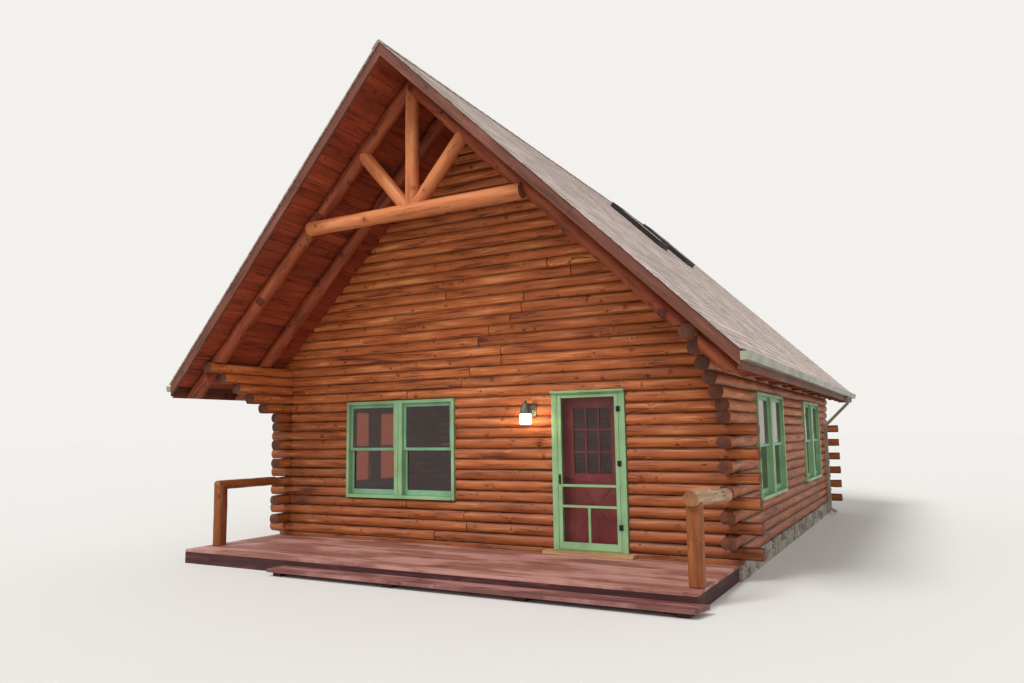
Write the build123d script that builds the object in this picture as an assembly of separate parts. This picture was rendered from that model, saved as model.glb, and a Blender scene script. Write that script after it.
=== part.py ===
from build123d import *
import math
import os

# A one-and-a-half storey log cabin. The gable front faces -Y, the ridge runs along Y and the ground is Z = 0.
# The origin is on the ground, midway between the roof's front and back edges.

# Log walls
house_width = 7690.0  # over the outer crests of the side walls
house_length = 9150.0  # over the outer crests of the gable walls
log_radius = 95.0
course_height = 152.4
door_courses = 14  # courses from the sill log to the heads of the door and windows
side_courses = 18  # courses in a side wall
end_pass = 350.0  # a log end past the axis of the wall that it crosses
crossed_courses = 12  # courses that cross at the front corners; the ones above are corbels
corbel_reach = 1700.0  # top corbel log in front of the gable wall
corbel_step = 286.0
back_corbel_reach = 650.0
back_corbel_step = 75.0

# Foundation and floor
wall_base = 250.0  # underside of the sill logs
foundation_width = 180.0
floor_ledge = 90.0
floor_board = 25.0
joist_depth = 150.0
joist_width = 60.0
joist_spacing = 450.0
floor_gap = 2.0

# Roof
roof_pitch = 44.6
roof_seat = 185.1  # top of the shingles over the wall plate, at the outer crest of the wall
eave_reach = 515.0  # shingle edge outside the side walls
prow_reach = 2290.0  # shingle edge in front of the gable wall at the ridge
eave_front_reach = 1900.0  # the same at the eaves
back_reach = 900.0
shingle_thickness = 15.0
deck_thickness = 125.0  # boarded ceiling, insulation and sheathing
shingle_overhang = 20.0
fascia_thickness = 38.0
rake_depth = 130.0
eave_fascia_depth = 190.0
cap_width = 150.0
cap_thickness = 12.0

# Rafters and truss
rafter_radius = 100.0
rafter_spacing = 940.0
outer_rafter_reach = 1540.0  # outer pair in front of the gable wall
tie_drop = 2145.0  # tie axis below the ridge
tie_radius = 100.0
tie_inset = 92.0  # tie end short of the rafter axis
tie_forward = 100.0  # tie axis in front of the rafter axis
king_radius = 95.0
strut_radius = 95.0
strut_reach = 845.0  # foot of each strut to its head along X
joint_gap = 0.3
least_block = 20.0  # shortest piece of blocking between two rafters

# Skylights
skylight_width = 640.0
skylight_length = 1300.0
skylight_top = 900.0  # upper edge down the slope from the ridge
skylight_curb = 90.0
skylight_rim = 55.0
skylight_bays = (7, 9)  # spaces between rafters, counted from the front

# Gutters
gutter_width = 105.0
gutter_depth = 90.0
gutter_wall = 3.0
gutter_drop = 8.0
gutter_lean = 26.0
spout_width = 60.0
spout_setback = 600.0
spout_clearance = 25.0

# Windows: twin double-hung units with their casings
window_width = 2080.0
window_foot_course = 4  # first course cut; the heads are level with the door's
window_gap = 2.0
casing_width = 50.0
mullion_width = 150.0
casing_proud = 20.0
sash_stile = 50.0
sash_bottom = 80.0
sash_top = 55.0
meeting_rail = 45.0
sash_thickness = 35.0
sash_setback = 22.0
sash_gap = 3.0
glass_thickness = 6.0
front_window_x = -1370.0
back_window_x = 0.0
side_window_setback = 2400.0  # centres from the outer crests of the gable walls

# Doorway
door_left = 1300.0
door_width = 1090.0  # over the casings
door_casing = 87.5
door_head = 12.0
door_sill = 6.0
door_stop = 12.0
door_play = 5.0
cap_height = 38.0
cap_projection = 38.0
cap_ends = 8.0
step_board_width = 1310.0
step_board_depth = 150.0
step_board_height = 45.0

# Screen door
screen_thickness = 30.0
screen_stile = 56.0
screen_top_rail = 45.0
screen_bottom_rail = 95.0
screen_bar = 34.0
screen_bar_heights = (559.0, 839.0)  # undersides above the door's foot
mesh_thickness = 2.0
hinge_radius = 6.0
hinge_length = 75.0
hinge_leaf = 30.0
hinge_plate = 2.5
hinge_clearance = 1.0
screen_hinge_heights = (319.0, 1159.0, 1889.0)
handle_height = 942.0
handle_length = 120.0
handle_radius = 7.0
handle_reach = 28.0
handle_post_spacing = 90.0
handle_post_radius = 5.0
handle_plate_width = 22.0
handle_plate_length = 140.0
handle_plate_thickness = 3.0

# Entry door
leaf_thickness = 45.0
lite_width = 558.0
lite_height = 907.0
lite_foot = 1009.0
muntin = 22.0
panel_foot = 230.0
panel_top = 900.0
panel_depth = 10.0
brace_width = 70.0
lever_height = 934.0
lever_inset = 62.0
lever_length = 105.0
lever_radius = 8.0
lever_reach = 40.0
lever_neck_end = 45.0
rose_radius = 26.0
rose_depth = 8.0
entry_hinge_heights = (150.0, 950.0, 1800.0)

# Lantern beside the door
lantern_x = 1005.0
lantern_reach = 235.0
lantern_foot = 1962.0
jar_radius = 74.0
jar_height = 150.0
jar_wall = 4.0
hood_radius = 92.0
hood_height = 128.0
hood_profile = ((1.0, 0.0), (0.92, 0.3), (0.62, 0.62), (0.42, 0.78), (0.36, 1.0))  # shares of radius and height
bulb_radius = 26.0
bulb_seat = 8.0
socket_radius = 17.0
socket_length = 40.0
lantern_plate_width = 110.0
lantern_plate_length = 165.0
lantern_plate_depth = 12.0
lantern_plate_rise = 45.0  # centre of the wall plate above the jar
arm_radius = 9.0
arm_bend = 75.0
arm_bend_radius = 24.0
arm_rise = 42.0

# Porch deck, rails and step
deck_top = 200.0
deck_depth = 1870.0
deck_left = 3880.0
deck_right = 3800.0
deck_board = 38.0
deck_wall_gap = 10.0
deck_rim = 38.0
deck_joist_spacing = 600.0
step_top = 100.0
step_depth = 310.0
step_board = 45.0
step_left = -1900.0
step_right = 3925.0
step_right_cut = 85.0  # the right end is cut at a slant
step_block = 140.0
step_block_inset = 60.0
step_blocks = 4
left_rail_height = 1110.0
left_rail_radius = 70.0
left_rail_reach = 1440.0
left_post_reach = 1360.0
left_post_radius = 98.0
right_rail_front = 1133.0  # height of the axis at the front end
right_rail_back = 1043.0  # the same at the wall's axis
right_rail_radius = 84.0
right_rail_reach = 1720.0
right_post_x = 3720.0
right_post_reach = 1570.0
right_post_size = 155.0

# Derived places
slope = math.tan(math.radians(roof_pitch))
slant = math.cos(math.radians(roof_pitch))
wall_axis = house_width / 2 - log_radius
crest = house_width / 2
flat_half = math.sqrt(log_radius**2 - (course_height / 2) ** 2)
front_y = (prow_reach - house_length - back_reach) / 2
back_y = front_y + house_length
front_axis = front_y + log_radius
back_axis = back_y - log_radius
roof_edge = crest + eave_reach
roof_back = back_y + back_reach
fascia_edge = roof_edge - shingle_overhang
boards_offset = shingle_thickness + deck_thickness
axis_offset = boards_offset + rafter_radius
plate_top = wall_base + side_courses * course_height
ridge_top = plate_top + slope * crest + roof_seat
head_height = wall_base + door_courses * course_height
fascia_foot = ridge_top - slope * roof_edge - shingle_thickness / slant - eave_fascia_depth
rafter_count = int((house_length + outer_rafter_reach + back_reach - rafter_radius) // rafter_spacing) + 1
rafter_ys = [front_y - outer_rafter_reach + n * rafter_spacing for n in range(rafter_count)]
gable_courses = math.ceil((ridge_top - wall_base) / course_height)
tie_height = ridge_top - tie_drop
tie_end = (tie_drop - axis_offset / slant) / slope - tie_inset
big = 30000.0


def course_z(course):
    return wall_base + (course + 0.5) * course_height


def roof_z(x, offset):
    """Height of the plane that lies `offset` square under the shingles' top."""
    return ridge_top - offset / slant - slope * abs(x)


def block(x0, x1, y0, y1, z0, z1):
    return Pos((x0 + x1) / 2, (y0 + y1) / 2, (z0 + z1) / 2) * Box(abs(x1 - x0), abs(y1 - y0), abs(z1 - z0))


def rod(start, end, radius):
    """Round bar between two points."""
    start, end = Vector(start), Vector(end)
    path = end - start
    return extrude(Plane(origin=start, z_dir=path.normalized()) * Circle(radius), amount=path.length)


def joined(pieces):
    first, *rest = pieces
    return first.fuse(*rest) if rest else first


def mirrored(part):
    return mirror(part, about=Plane.YZ)


def prism(points, z0, z1):
    """Plan outline raised from z0 to z1."""
    return Pos(0, 0, z0) * extrude(make_face(Polyline(*points, close=True)), amount=z1 - z0)


def across(points, y0, y1):
    """Outline in X and Z carried from y0 to y1."""
    plane = Plane(origin=(0, y1, 0), x_dir=(1, 0, 0), z_dir=(0, -1, 0))
    return extrude(plane * make_face(Polyline(*points, close=True)), amount=y1 - y0)


# Logs
def log_profile():
    return Circle(log_radius) & Rectangle(2 * log_radius, course_height)


def log_x(x0, x1, y, course):
    plane = Plane(origin=(x0, y, course_z(course)), x_dir=(0, 1, 0), z_dir=(1, 0, 0))
    return extrude(plane * log_profile(), amount=x1 - x0)


def log_y(y0, y1, x, course):
    plane = Plane(origin=(x, y0, course_z(course)), x_dir=(1, 0, 0), z_dir=(0, 1, 0))
    return extrude(plane * log_profile(), amount=y1 - y0)


def gable_end(course):
    """Half length of a gable wall's log: it crosses the side wall or butts against it."""
    if course >= side_courses:
        return crest
    crosses = course % 2 == 0 and course < crossed_courses
    return wall_axis + end_pass if crosses else wall_axis - log_radius


def opening(centre, y, facing_x=False):
    """Box that cuts a window's place out of a wall whose axis is at y, or at x for a side wall."""
    low = wall_base + window_foot_course * course_height
    high = wall_base + door_courses * course_height
    if facing_x:
        return block(y - 2 * log_radius, y + 2 * log_radius,
                     centre - window_width / 2, centre + window_width / 2, low, high)
    return block(centre - window_width / 2, centre + window_width / 2,
                 y - 2 * log_radius, y + 2 * log_radius, low, high)


def under_roof(y0, y1):
    """Everything below the boarded ceiling."""
    foot = roof_z(0, boards_offset) / slope
    return across([(-foot, 0), (foot, 0), (0, roof_z(0, boards_offset))], y0, y1)


def front_wall_left():
    logs = [log_x(-gable_end(n), door_left, front_axis, n) for n in range(door_courses)]
    return joined(logs) - opening(front_window_x, front_axis)


def front_wall_right():
    start = door_left + door_width
    return joined([log_x(start, gable_end(n), front_axis, n) for n in range(door_courses)])


def gable_wall(axis):
    """Gable from the heads of the windows up, its top courses trimmed to the roof."""
    low = [log_x(-gable_end(n), gable_end(n), axis, n) for n in range(door_courses, side_courses)]
    high = joined([log_x(-crest, crest, axis, n) for n in range(side_courses, gable_courses)])
    high &= under_roof(axis - 2 * log_radius, axis + 2 * log_radius)
    return joined([*low, high])


def back_wall():
    logs = [log_x(-gable_end(n), gable_end(n), back_axis, n) for n in range(door_courses)]
    return joined(logs) - opening(back_window_x, back_axis)


def side_log(course):
    """Log of the right wall: odd courses cross the gable walls, and the upper ones end as corbels."""
    front = front_axis - end_pass if course % 2 else front_axis + log_radius
    back = back_axis + end_pass if course % 2 else back_axis - log_radius
    if course >= crossed_courses:
        below_top = side_courses - 1 - course
        front = front_y - corbel_reach + below_top * corbel_step
        back = back_y + back_corbel_reach - below_top * back_corbel_step
    return log_y(front, back, wall_axis, course)


def side_wall():
    wall = joined([side_log(n) for n in range(door_courses)])
    for centre in side_window_ys():
        wall -= opening(centre, wall_axis, facing_x=True)
    return wall


def side_window_ys():
    return front_y + side_window_setback, back_y - side_window_setback


def eave_blocking():
    """Bevelled timbers that close the space between the top log and the boards, scribed to the rafters."""
    inner, outer = wall_axis - flat_half, wall_axis + flat_half
    outline = [(inner, plate_top), (outer, plate_top), (outer, roof_z(outer, boards_offset)),
               (inner, roof_z(inner, boards_offset))]
    front, back = front_axis + log_radius, back_axis - log_radius
    crossing = [y for y in rafter_ys if front - rafter_radius < y < back + rafter_radius]
    starts, ends = [front, *crossing], [*crossing, back]
    pieces = []
    for start, end in zip(starts, ends):
        clear = end - start - rafter_radius * ((start in crossing) + (end in crossing))
        if clear > least_block:
            piece = across(outline, start, end)
            for y in crossing:
                piece -= rafter_rod(y, rafter_radius + joint_gap)
            pieces.append(piece)
    return pieces


def side_upper():
    return joined([*[side_log(n) for n in range(door_courses, side_courses)], *eave_blocking()])


# Roof
def rafter_rod(y, radius):
    reach = roof_edge + rafter_radius
    start = (-rafter_radius, y, ridge_top - axis_offset / slant + slope * rafter_radius)
    return rod(start, (reach, y, roof_z(reach, axis_offset)), radius)


def rafters():
    """Rafters of the right slope. Each bears on the top log, and its tail starts again outside that log."""
    inner_face = fascia_edge - fascia_thickness
    room = block(0, inner_face, -big, big, fascia_foot, ridge_top)
    seat = block(-1, crest, -big, big, 0, plate_top)
    pieces = []
    for y in rafter_ys:
        pieces += ((rafter_rod(y, rafter_radius) & room) - seat).solids()
    return Compound(pieces)


def front_line(x, inset):
    """Y of the roof's front edge at x, set back square to the edge by inset."""
    rake = (prow_reach - eave_front_reach) / roof_edge
    return front_y - prow_reach + rake * x + inset * math.hypot(1, rake)


def slope_slab(offset, thickness):
    outline = [
        (0, roof_z(0, offset)),
        (roof_edge, roof_z(roof_edge, offset)),
        (roof_edge, roof_z(roof_edge, offset + thickness)),
        (0, roof_z(0, offset + thickness)),
    ]
    return across(outline, front_y - 2 * prow_reach, roof_back)


def roof_plan(inset):
    edge = roof_edge - inset
    points = [(0, front_line(0, inset)), (edge, front_line(edge, inset)), (edge, roof_back - inset),
              (0, roof_back - inset)]
    return prism(points, 0, ridge_top)


def skylight_ys():
    return [rafter_ys[bay] - rafter_spacing / 2 for bay in skylight_bays]


def on_slope(y, down, outward):
    """Frame on the right slope: x runs down the slope, z stands square to it."""
    angle = math.radians(roof_pitch)
    origin = (down * math.cos(angle), y, ridge_top - down * math.sin(angle))
    place = Plane(origin=origin, x_dir=(math.cos(angle), 0, -math.sin(angle)),
                  z_dir=(math.sin(angle), 0, math.cos(angle)))
    return place.offset(outward)


def skylight_hole():
    """Shafts for the skylights through the shingles and the roof deck."""
    middle = skylight_top + skylight_length / 2
    return [
        extrude(on_slope(y, middle, skylight_curb) * Rectangle(skylight_length, skylight_width),
                amount=-skylight_curb - boards_offset - rafter_radius)
        for y in skylight_ys()
    ]


def cut_skylights(part):
    for hole in skylight_hole():
        part -= hole
    return part


def roof_deck():
    return slope_slab(shingle_thickness, deck_thickness) & roof_plan(shingle_overhang + fascia_thickness)


def shingles():
    return slope_slab(0, shingle_thickness) & roof_plan(0)


def ridge_cap():
    """Bent cap of shingle over the ridge."""
    drop = slope * cap_width
    rise = cap_thickness / slant
    outline = [(-cap_width, ridge_top - drop), (0, ridge_top), (cap_width, ridge_top - drop),
               (cap_width, ridge_top - drop + rise), (0, ridge_top + rise), (-cap_width, ridge_top - drop + rise)]
    return across(outline, front_y - prow_reach, roof_back)


def fascia():
    """Rake boards and eave board of the right slope."""
    rake = slope_slab(shingle_thickness, rake_depth) & block(0, big, -big, big, fascia_foot, ridge_top)
    front = prism(
        [(x, front_line(x, inset)) for x, inset in (
            (0, shingle_overhang), (fascia_edge, shingle_overhang),
            (fascia_edge, shingle_overhang + fascia_thickness), (0, shingle_overhang + fascia_thickness))],
        0, ridge_top)
    back = block(0, fascia_edge, roof_back - shingle_overhang - fascia_thickness,
                 roof_back - shingle_overhang, 0, ridge_top)
    inner = fascia_edge - fascia_thickness
    eave = across([(inner, fascia_foot), (fascia_edge, fascia_foot),
                   (fascia_edge, roof_z(fascia_edge, shingle_thickness)),
                   (inner, roof_z(inner, shingle_thickness))],
                  front_line(inner, shingle_overhang + fascia_thickness / 2),
                  roof_back - shingle_overhang - fascia_thickness / 2)
    return joined([rake & front, rake & back, eave])


def gutter():
    """Trough on the eave board, with a spout at the back that runs in under the eave and down the wall."""
    top = roof_z(roof_edge, shingle_thickness) - gutter_drop
    foot = top - gutter_depth
    near, far = fascia_edge, fascia_edge + gutter_width
    y0 = front_line(fascia_edge, shingle_overhang)
    y1 = roof_back - shingle_overhang
    lean = gutter_lean
    solid = across([(near, top), (far, top), (far - lean, foot), (near, foot)], y0, y1)
    w = gutter_wall
    hollow = across([(near + w, top + w), (far - w, top + w), (far - w - lean, foot + w), (near + w, foot + w)],
                    y0 + w, y1 - w)
    middle = (near + far - lean) / 2
    y = back_y - spout_setback
    wall_x = crest + spout_clearance + spout_width / 2
    elbow = fascia_foot - spout_width
    points = [(middle, y, foot), (middle, y, elbow), (wall_x, y, elbow - middle + wall_x),
              (wall_x, y, 2 * spout_width), (wall_x + 2 * spout_width, y, spout_width)]
    start = Plane(origin=points[0], z_dir=(0, 0, -1))
    spout = sweep(start * Rectangle(spout_width, spout_width), path=Polyline(*points),
                  transition=Transition.RIGHT)
    return joined([solid - hollow, spout])


def skylight_frames():
    rings = []
    middle = skylight_top + skylight_length / 2
    inner_x, inner_y = skylight_length - 2 * skylight_rim, skylight_width - 2 * skylight_rim
    for y in skylight_ys():
        face = Rectangle(skylight_length - 2 * joint_gap, skylight_width - 2 * joint_gap)
        ring = face - Rectangle(inner_x, inner_y)
        rings.append(extrude(on_slope(y, middle, -boards_offset) * ring, amount=boards_offset + skylight_curb))
    return Compound(rings)


def skylight_glass():
    middle = skylight_top + skylight_length / 2
    size = skylight_length - 2 * skylight_rim, skylight_width - 2 * skylight_rim
    return Compound([
        extrude(on_slope(y, middle, skylight_curb - 2 * glass_thickness) * Rectangle(*size), amount=glass_thickness)
        for y in skylight_ys()
    ])


# Porch truss
def truss_y():
    return rafter_ys[0]


def tie_rod(radius):
    y = truss_y() - tie_forward
    return rod((-tie_end, y, tie_height), (tie_end, y, tie_height), radius)


def both_rafters():
    right = rafter_rod(truss_y(), rafter_radius + joint_gap)
    return joined([right, mirrored(right)])


def truss_tie():
    return tie_rod(tie_radius) - both_rafters()


def king_rod(radius):
    return rod((0, truss_y(), tie_height), (0, truss_y(), roof_z(0, axis_offset)), radius)


def king_post():
    post = king_rod(king_radius) - both_rafters() - tie_rod(tie_radius + joint_gap)
    return max(post.solids(), key=lambda solid: solid.volume)


def truss_struts():
    y = truss_y()
    head = (strut_reach, y, roof_z(strut_reach, axis_offset))
    strut = rod((0, y, tie_height), head, strut_radius)
    strut -= both_rafters()
    strut -= tie_rod(tie_radius + joint_gap)
    strut -= king_rod(king_radius + joint_gap)
    strut = max(strut.solids(), key=lambda solid: solid.volume)
    return Compound([strut, mirrored(strut)])


# Foundation and floor
def foundation():
    half = foundation_width / 2
    ring = block(-wall_axis - half, wall_axis + half, front_axis - half, back_axis + half, 0, wall_base)
    ring -= block(-wall_axis + half, wall_axis - half, front_axis + half, back_axis - half, 0, wall_base)
    ledge_top = wall_base - floor_board - joist_depth
    ledge = block(-wall_axis + half, wall_axis - half, front_axis + half, back_axis - half, 0, ledge_top)
    inset = half + floor_ledge
    ledge -= block(-wall_axis + inset, wall_axis - inset, front_axis + inset, back_axis - inset, 0, ledge_top)
    return joined([ring, ledge])


def floor_limits():
    """Half width, front and back of the floor inside the foundation ring."""
    inset = foundation_width / 2 + floor_gap
    return wall_axis - inset, front_axis + inset, back_axis - inset


def floor():
    x, y0, y1 = floor_limits()
    return block(-x, x, y0, y1, wall_base - floor_board, wall_base)


def floor_joists():
    """Joists that lie on the foundation's ledge and carry the boards."""
    x, y0, y1 = floor_limits()
    top = wall_base - floor_board
    count = int((y1 - y0 - joist_width) // joist_spacing)
    gap = (y1 - y0 - joist_width) / count
    return Compound([
        block(-x, x, y0 + n * gap, y0 + n * gap + joist_width, top - joist_depth, top)
        for n in range(count + 1)
    ])


# Windows, drawn facing -Y with the wall's outer crest at y = 0 and the sill at z = 0
def window_height():
    return (door_courses - window_foot_course) * course_height


def sash_bays():
    """Left and right limits of the two sash openings."""
    half = window_width / 2 - window_gap - casing_width
    return [(-half, -mullion_width / 2), (mullion_width / 2, half)]


def window_frame():
    """Casings and jambs in one, standing on the log below."""
    half, height = window_width / 2 - window_gap, window_height() - window_gap
    frame = block(-half, half, -casing_proud, 2 * log_radius, 0, height)
    for x0, x1 in sash_bays():
        frame -= block(x0, x1, -big, big, casing_width, height - casing_width)
    return frame


def sash_levels():
    """Lower and upper sash: foot, head, foot rail, head rail and front face."""
    foot = casing_width
    head = window_height() - window_gap - casing_width
    middle = (foot + head) / 2
    inner = sash_setback + sash_thickness + sash_gap
    half = meeting_rail / 2
    return [
        (foot, middle + half, sash_bottom, meeting_rail, inner),
        (middle - half, head, meeting_rail, sash_top, sash_setback),
    ]


def window_sashes():
    pieces = []
    for x0, x1 in sash_bays():
        for foot, head, low_rail, high_rail, face in sash_levels():
            sash = block(x0, x1, face, face + sash_thickness, foot, head)
            sash -= block(x0 + sash_stile, x1 - sash_stile, -big, big, foot + low_rail, head - high_rail)
            pieces.append(sash)
    return pieces


def window_glass():
    panes = []
    for x0, x1 in sash_bays():
        for foot, head, low_rail, high_rail, face in sash_levels():
            middle = face + sash_thickness / 2
            panes.append(block(x0 + sash_stile, x1 - sash_stile, middle - glass_thickness / 2,
                               middle + glass_thickness / 2, foot + low_rail, head - high_rail))
    return panes


def window_places():
    """Where each wall's windows stand and which way they face."""
    foot = wall_base + window_foot_course * course_height
    sides = side_window_ys()
    return {
        "front": [Pos(front_window_x, front_y, foot)],
        "back": [Pos(back_window_x, back_y, foot) * Rot(0, 0, 180)],
        "right": [Pos(crest, y, foot) * Rot(0, 0, 90) for y in sides],
        "left": [Pos(-crest, y, foot) * Rot(0, 0, -90) for y in sides],
    }


def placed(pieces, places):
    return Compound([place * piece for place in places for piece in pieces])


# Doorway
def leaf_edges():
    """Left and right edges, foot and head of both door leaves."""
    left = door_left + door_casing + door_play
    right = door_left + door_width - door_casing - door_play
    foot = wall_base + door_sill + door_play
    head = head_height - window_gap - door_head - door_play
    return left, right, foot, head


def door_frame():
    """Casings and jambs in one, with the stops that both doors close against, the sill and the drip cap."""
    x0, x1 = door_left + window_gap, door_left + door_width - window_gap
    left, right, foot, head = leaf_edges()
    inner0, inner1 = left - door_play, right + door_play
    top = head_height - window_gap
    y0, y1 = front_y - casing_proud, front_y + 2 * log_radius
    frame = block(x0, x1, y0, y1, wall_base, top)
    frame -= block(inner0, inner1, y0, y1, wall_base + door_sill, head + door_play)
    stop0 = y0 + screen_thickness + door_play
    stop1 = y1 - leaf_thickness - door_play
    stops = block(inner0, inner1, stop0, stop1, wall_base + door_sill, head + door_play)
    stops -= block(inner0 + door_stop, inner1 - door_stop, stop0, stop1, wall_base,
                   head + door_play - door_stop)
    cap = block(x0 - cap_ends, x1 + cap_ends, y0 - cap_projection, front_y, top, top + cap_height)
    return joined([frame, stops, cap])


def front_step_board():
    centre = door_left + door_width / 2
    return block(centre - step_board_width / 2, centre + step_board_width / 2,
                 front_y - step_board_depth - deck_wall_gap, front_y - deck_wall_gap,
                 deck_top, deck_top + step_board_height)


def screen_door():
    left, right, foot, head = leaf_edges()
    y0 = front_y - casing_proud
    y1 = y0 + screen_thickness
    lower_bar, upper_bar = (foot + z for z in screen_bar_heights)
    centre = (left + right) / 2
    x0, x1 = left + screen_stile, right - screen_stile
    leaf = block(left, right, y0, y1, foot, head)
    leaf -= block(x0, centre - screen_bar / 2, y0, y1, foot + screen_bottom_rail, lower_bar)
    leaf -= block(centre + screen_bar / 2, x1, y0, y1, foot + screen_bottom_rail, lower_bar)
    leaf -= block(x0, x1, y0, y1, lower_bar + screen_bar, upper_bar)
    leaf -= block(x0, x1, y0, y1, upper_bar + screen_bar, head - screen_top_rail)
    return leaf


def screen_mesh():
    left, right, foot, head = leaf_edges()
    middle = front_y - casing_proud + screen_thickness / 2
    lower_bar, upper_bar = (foot + z for z in screen_bar_heights)
    centre = (left + right) / 2
    x0, x1 = left + screen_stile, right - screen_stile
    y0, y1 = middle - mesh_thickness / 2, middle + mesh_thickness / 2
    return Compound([
        block(x0, centre - screen_bar / 2, y0, y1, foot + screen_bottom_rail, lower_bar),
        block(centre + screen_bar / 2, x1, y0, y1, foot + screen_bottom_rail, lower_bar),
        block(x0, x1, y0, y1, lower_bar + screen_bar, upper_bar),
        block(x0, x1, y0, y1, upper_bar + screen_bar, head - screen_top_rail),
    ])


def pivot_x():
    return leaf_edges()[1] + door_play / 2


def screen_pivot_y():
    return front_y - casing_proud - hinge_plate - hinge_radius


def entry_pivot_y():
    return front_y + 2 * log_radius + hinge_plate + hinge_radius


def hinge_barrel(y, z):
    return Pos(pivot_x(), y, z) * Cylinder(hinge_radius, hinge_length)


def hinge_leaf_plate(y_face, outward, z, towards_door):
    """Flat leaf on the casing or on the door, lying on a face whose outward side is -1 or +1 in Y."""
    side = -1 if towards_door else 1
    start = pivot_x() + side * (door_play / 2 + hinge_clearance)
    return block(start, start + side * hinge_leaf, y_face, y_face + outward * hinge_plate,
                 z - hinge_length / 2, z + hinge_length / 2)


def frame_hinges():
    """Barrels with their casing leaves, three for each door."""
    foot = leaf_edges()[2]
    pieces = []
    for heights, face, outward, pivot in (
        (screen_hinge_heights, front_y - casing_proud, -1, screen_pivot_y()),
        (entry_hinge_heights, front_y + 2 * log_radius, 1, entry_pivot_y()),
    ):
        for height in heights:
            z = foot + height
            plate = hinge_leaf_plate(face, outward, z, False)
            low, high = sorted((face, pivot))
            neck = block(pivot_x(), pivot_x() + door_play / 2 + hinge_clearance + hinge_leaf / 4, low, high,
                         z - hinge_length / 2, z + hinge_length / 2)
            pieces.append(joined([hinge_barrel(pivot, z), neck, plate]))
    return Compound(pieces)


def door_hinge_leaves(heights, face, outward, y):
    """Leaves on a door, held clear of the barrels that they turn about."""
    foot = leaf_edges()[2]
    pieces = []
    for height in heights:
        z = foot + height
        plate = hinge_leaf_plate(face, outward, z, True)
        pieces.append(plate - Pos(pivot_x(), y, z) * Cylinder(hinge_radius + joint_gap, 2 * hinge_length))
    return pieces


def screen_hardware():
    """Pull handle and hinge leaves of the screen door."""
    left, _, foot, _ = leaf_edges()
    face = front_y - casing_proud
    x = left + screen_stile / 2
    z = foot + handle_height
    front = face - handle_reach
    posts = [
        rod((x, face, z + dz), (x, front, z + dz), handle_post_radius)
        for dz in (-handle_post_spacing / 2, handle_post_spacing / 2)
    ]
    grip = rod((x, front, z - handle_length / 2), (x, front, z + handle_length / 2), handle_radius)
    plate = block(x - handle_plate_width / 2, x + handle_plate_width / 2, face - handle_plate_thickness, face,
                  z - handle_plate_length / 2, z + handle_plate_length / 2)
    leaves = door_hinge_leaves(screen_hinge_heights, face, -1, screen_pivot_y())
    return Compound([joined([plate, *posts, grip]), *leaves])


def entry_lites():
    """Outlines of the nine panes: x0, x1, z0, z1."""
    left, right, foot, _ = leaf_edges()
    centre = (left + right) / 2
    wide = (lite_width - 2 * muntin) / 3
    tall = (lite_height - 2 * muntin) / 3
    x_start, z_start = centre - lite_width / 2, foot + lite_foot
    return [
        (x_start + i * (wide + muntin), x_start + i * (wide + muntin) + wide,
         z_start + k * (tall + muntin), z_start + k * (tall + muntin) + tall)
        for i in range(3) for k in range(3)
    ]


def entry_door():
    """Solid leaf with nine lites over a sunk panel with a cross-buck."""
    left, right, foot, head = leaf_edges()
    y1 = front_y + 2 * log_radius
    y0 = y1 - leaf_thickness
    leaf = block(left, right, y0, y1, foot, head)
    for x0, x1, z0, z1 in entry_lites():
        leaf -= block(x0, x1, y0, y1, z0, z1)
    centre = (left + right) / 2
    px0, px1 = centre - lite_width / 2, centre + lite_width / 2
    pz0, pz1 = foot + panel_foot, foot + panel_top
    sunk = block(px0, px1, y0, y0 + panel_depth, pz0, pz1)
    angle = math.degrees(math.atan2(pz1 - pz0, px1 - px0))
    length = math.hypot(px1 - px0, pz1 - pz0)
    brace = Pos(centre, y0 + panel_depth / 2, (pz0 + pz1) / 2)
    for turn in (angle, -angle):
        sunk -= brace * Rot(0, turn, 0) * Box(length, 2 * panel_depth, brace_width)
    return leaf - sunk


def entry_glass():
    y = front_y + 2 * log_radius - leaf_thickness / 2
    return Compound([
        block(x0, x1, y - glass_thickness / 2, y + glass_thickness / 2, z0, z1)
        for x0, x1, z0, z1 in entry_lites()
    ])


def entry_hardware():
    """Levers on both faces and the hinge leaves."""
    left, _, foot, _ = leaf_edges()
    x, z = left + lever_inset, foot + lever_height
    y1 = front_y + 2 * log_radius
    y0 = y1 - leaf_thickness
    pieces = []
    for face, out in ((y0, -1), (y1, 1)):
        seat = face + out * rose_depth
        front = face + out * lever_reach
        rose = rod((x, face, z), (x, seat, z), rose_radius)
        neck = rod((x, seat, z), (x, face + out * lever_neck_end, z), lever_radius)
        arm = rod((x, front, z), (x + lever_length, front, z), lever_radius)
        pieces.append(joined([rose, neck, arm]))
    return Compound([*pieces, *door_hinge_leaves(entry_hinge_heights, y1, 1, entry_pivot_y())])


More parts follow.
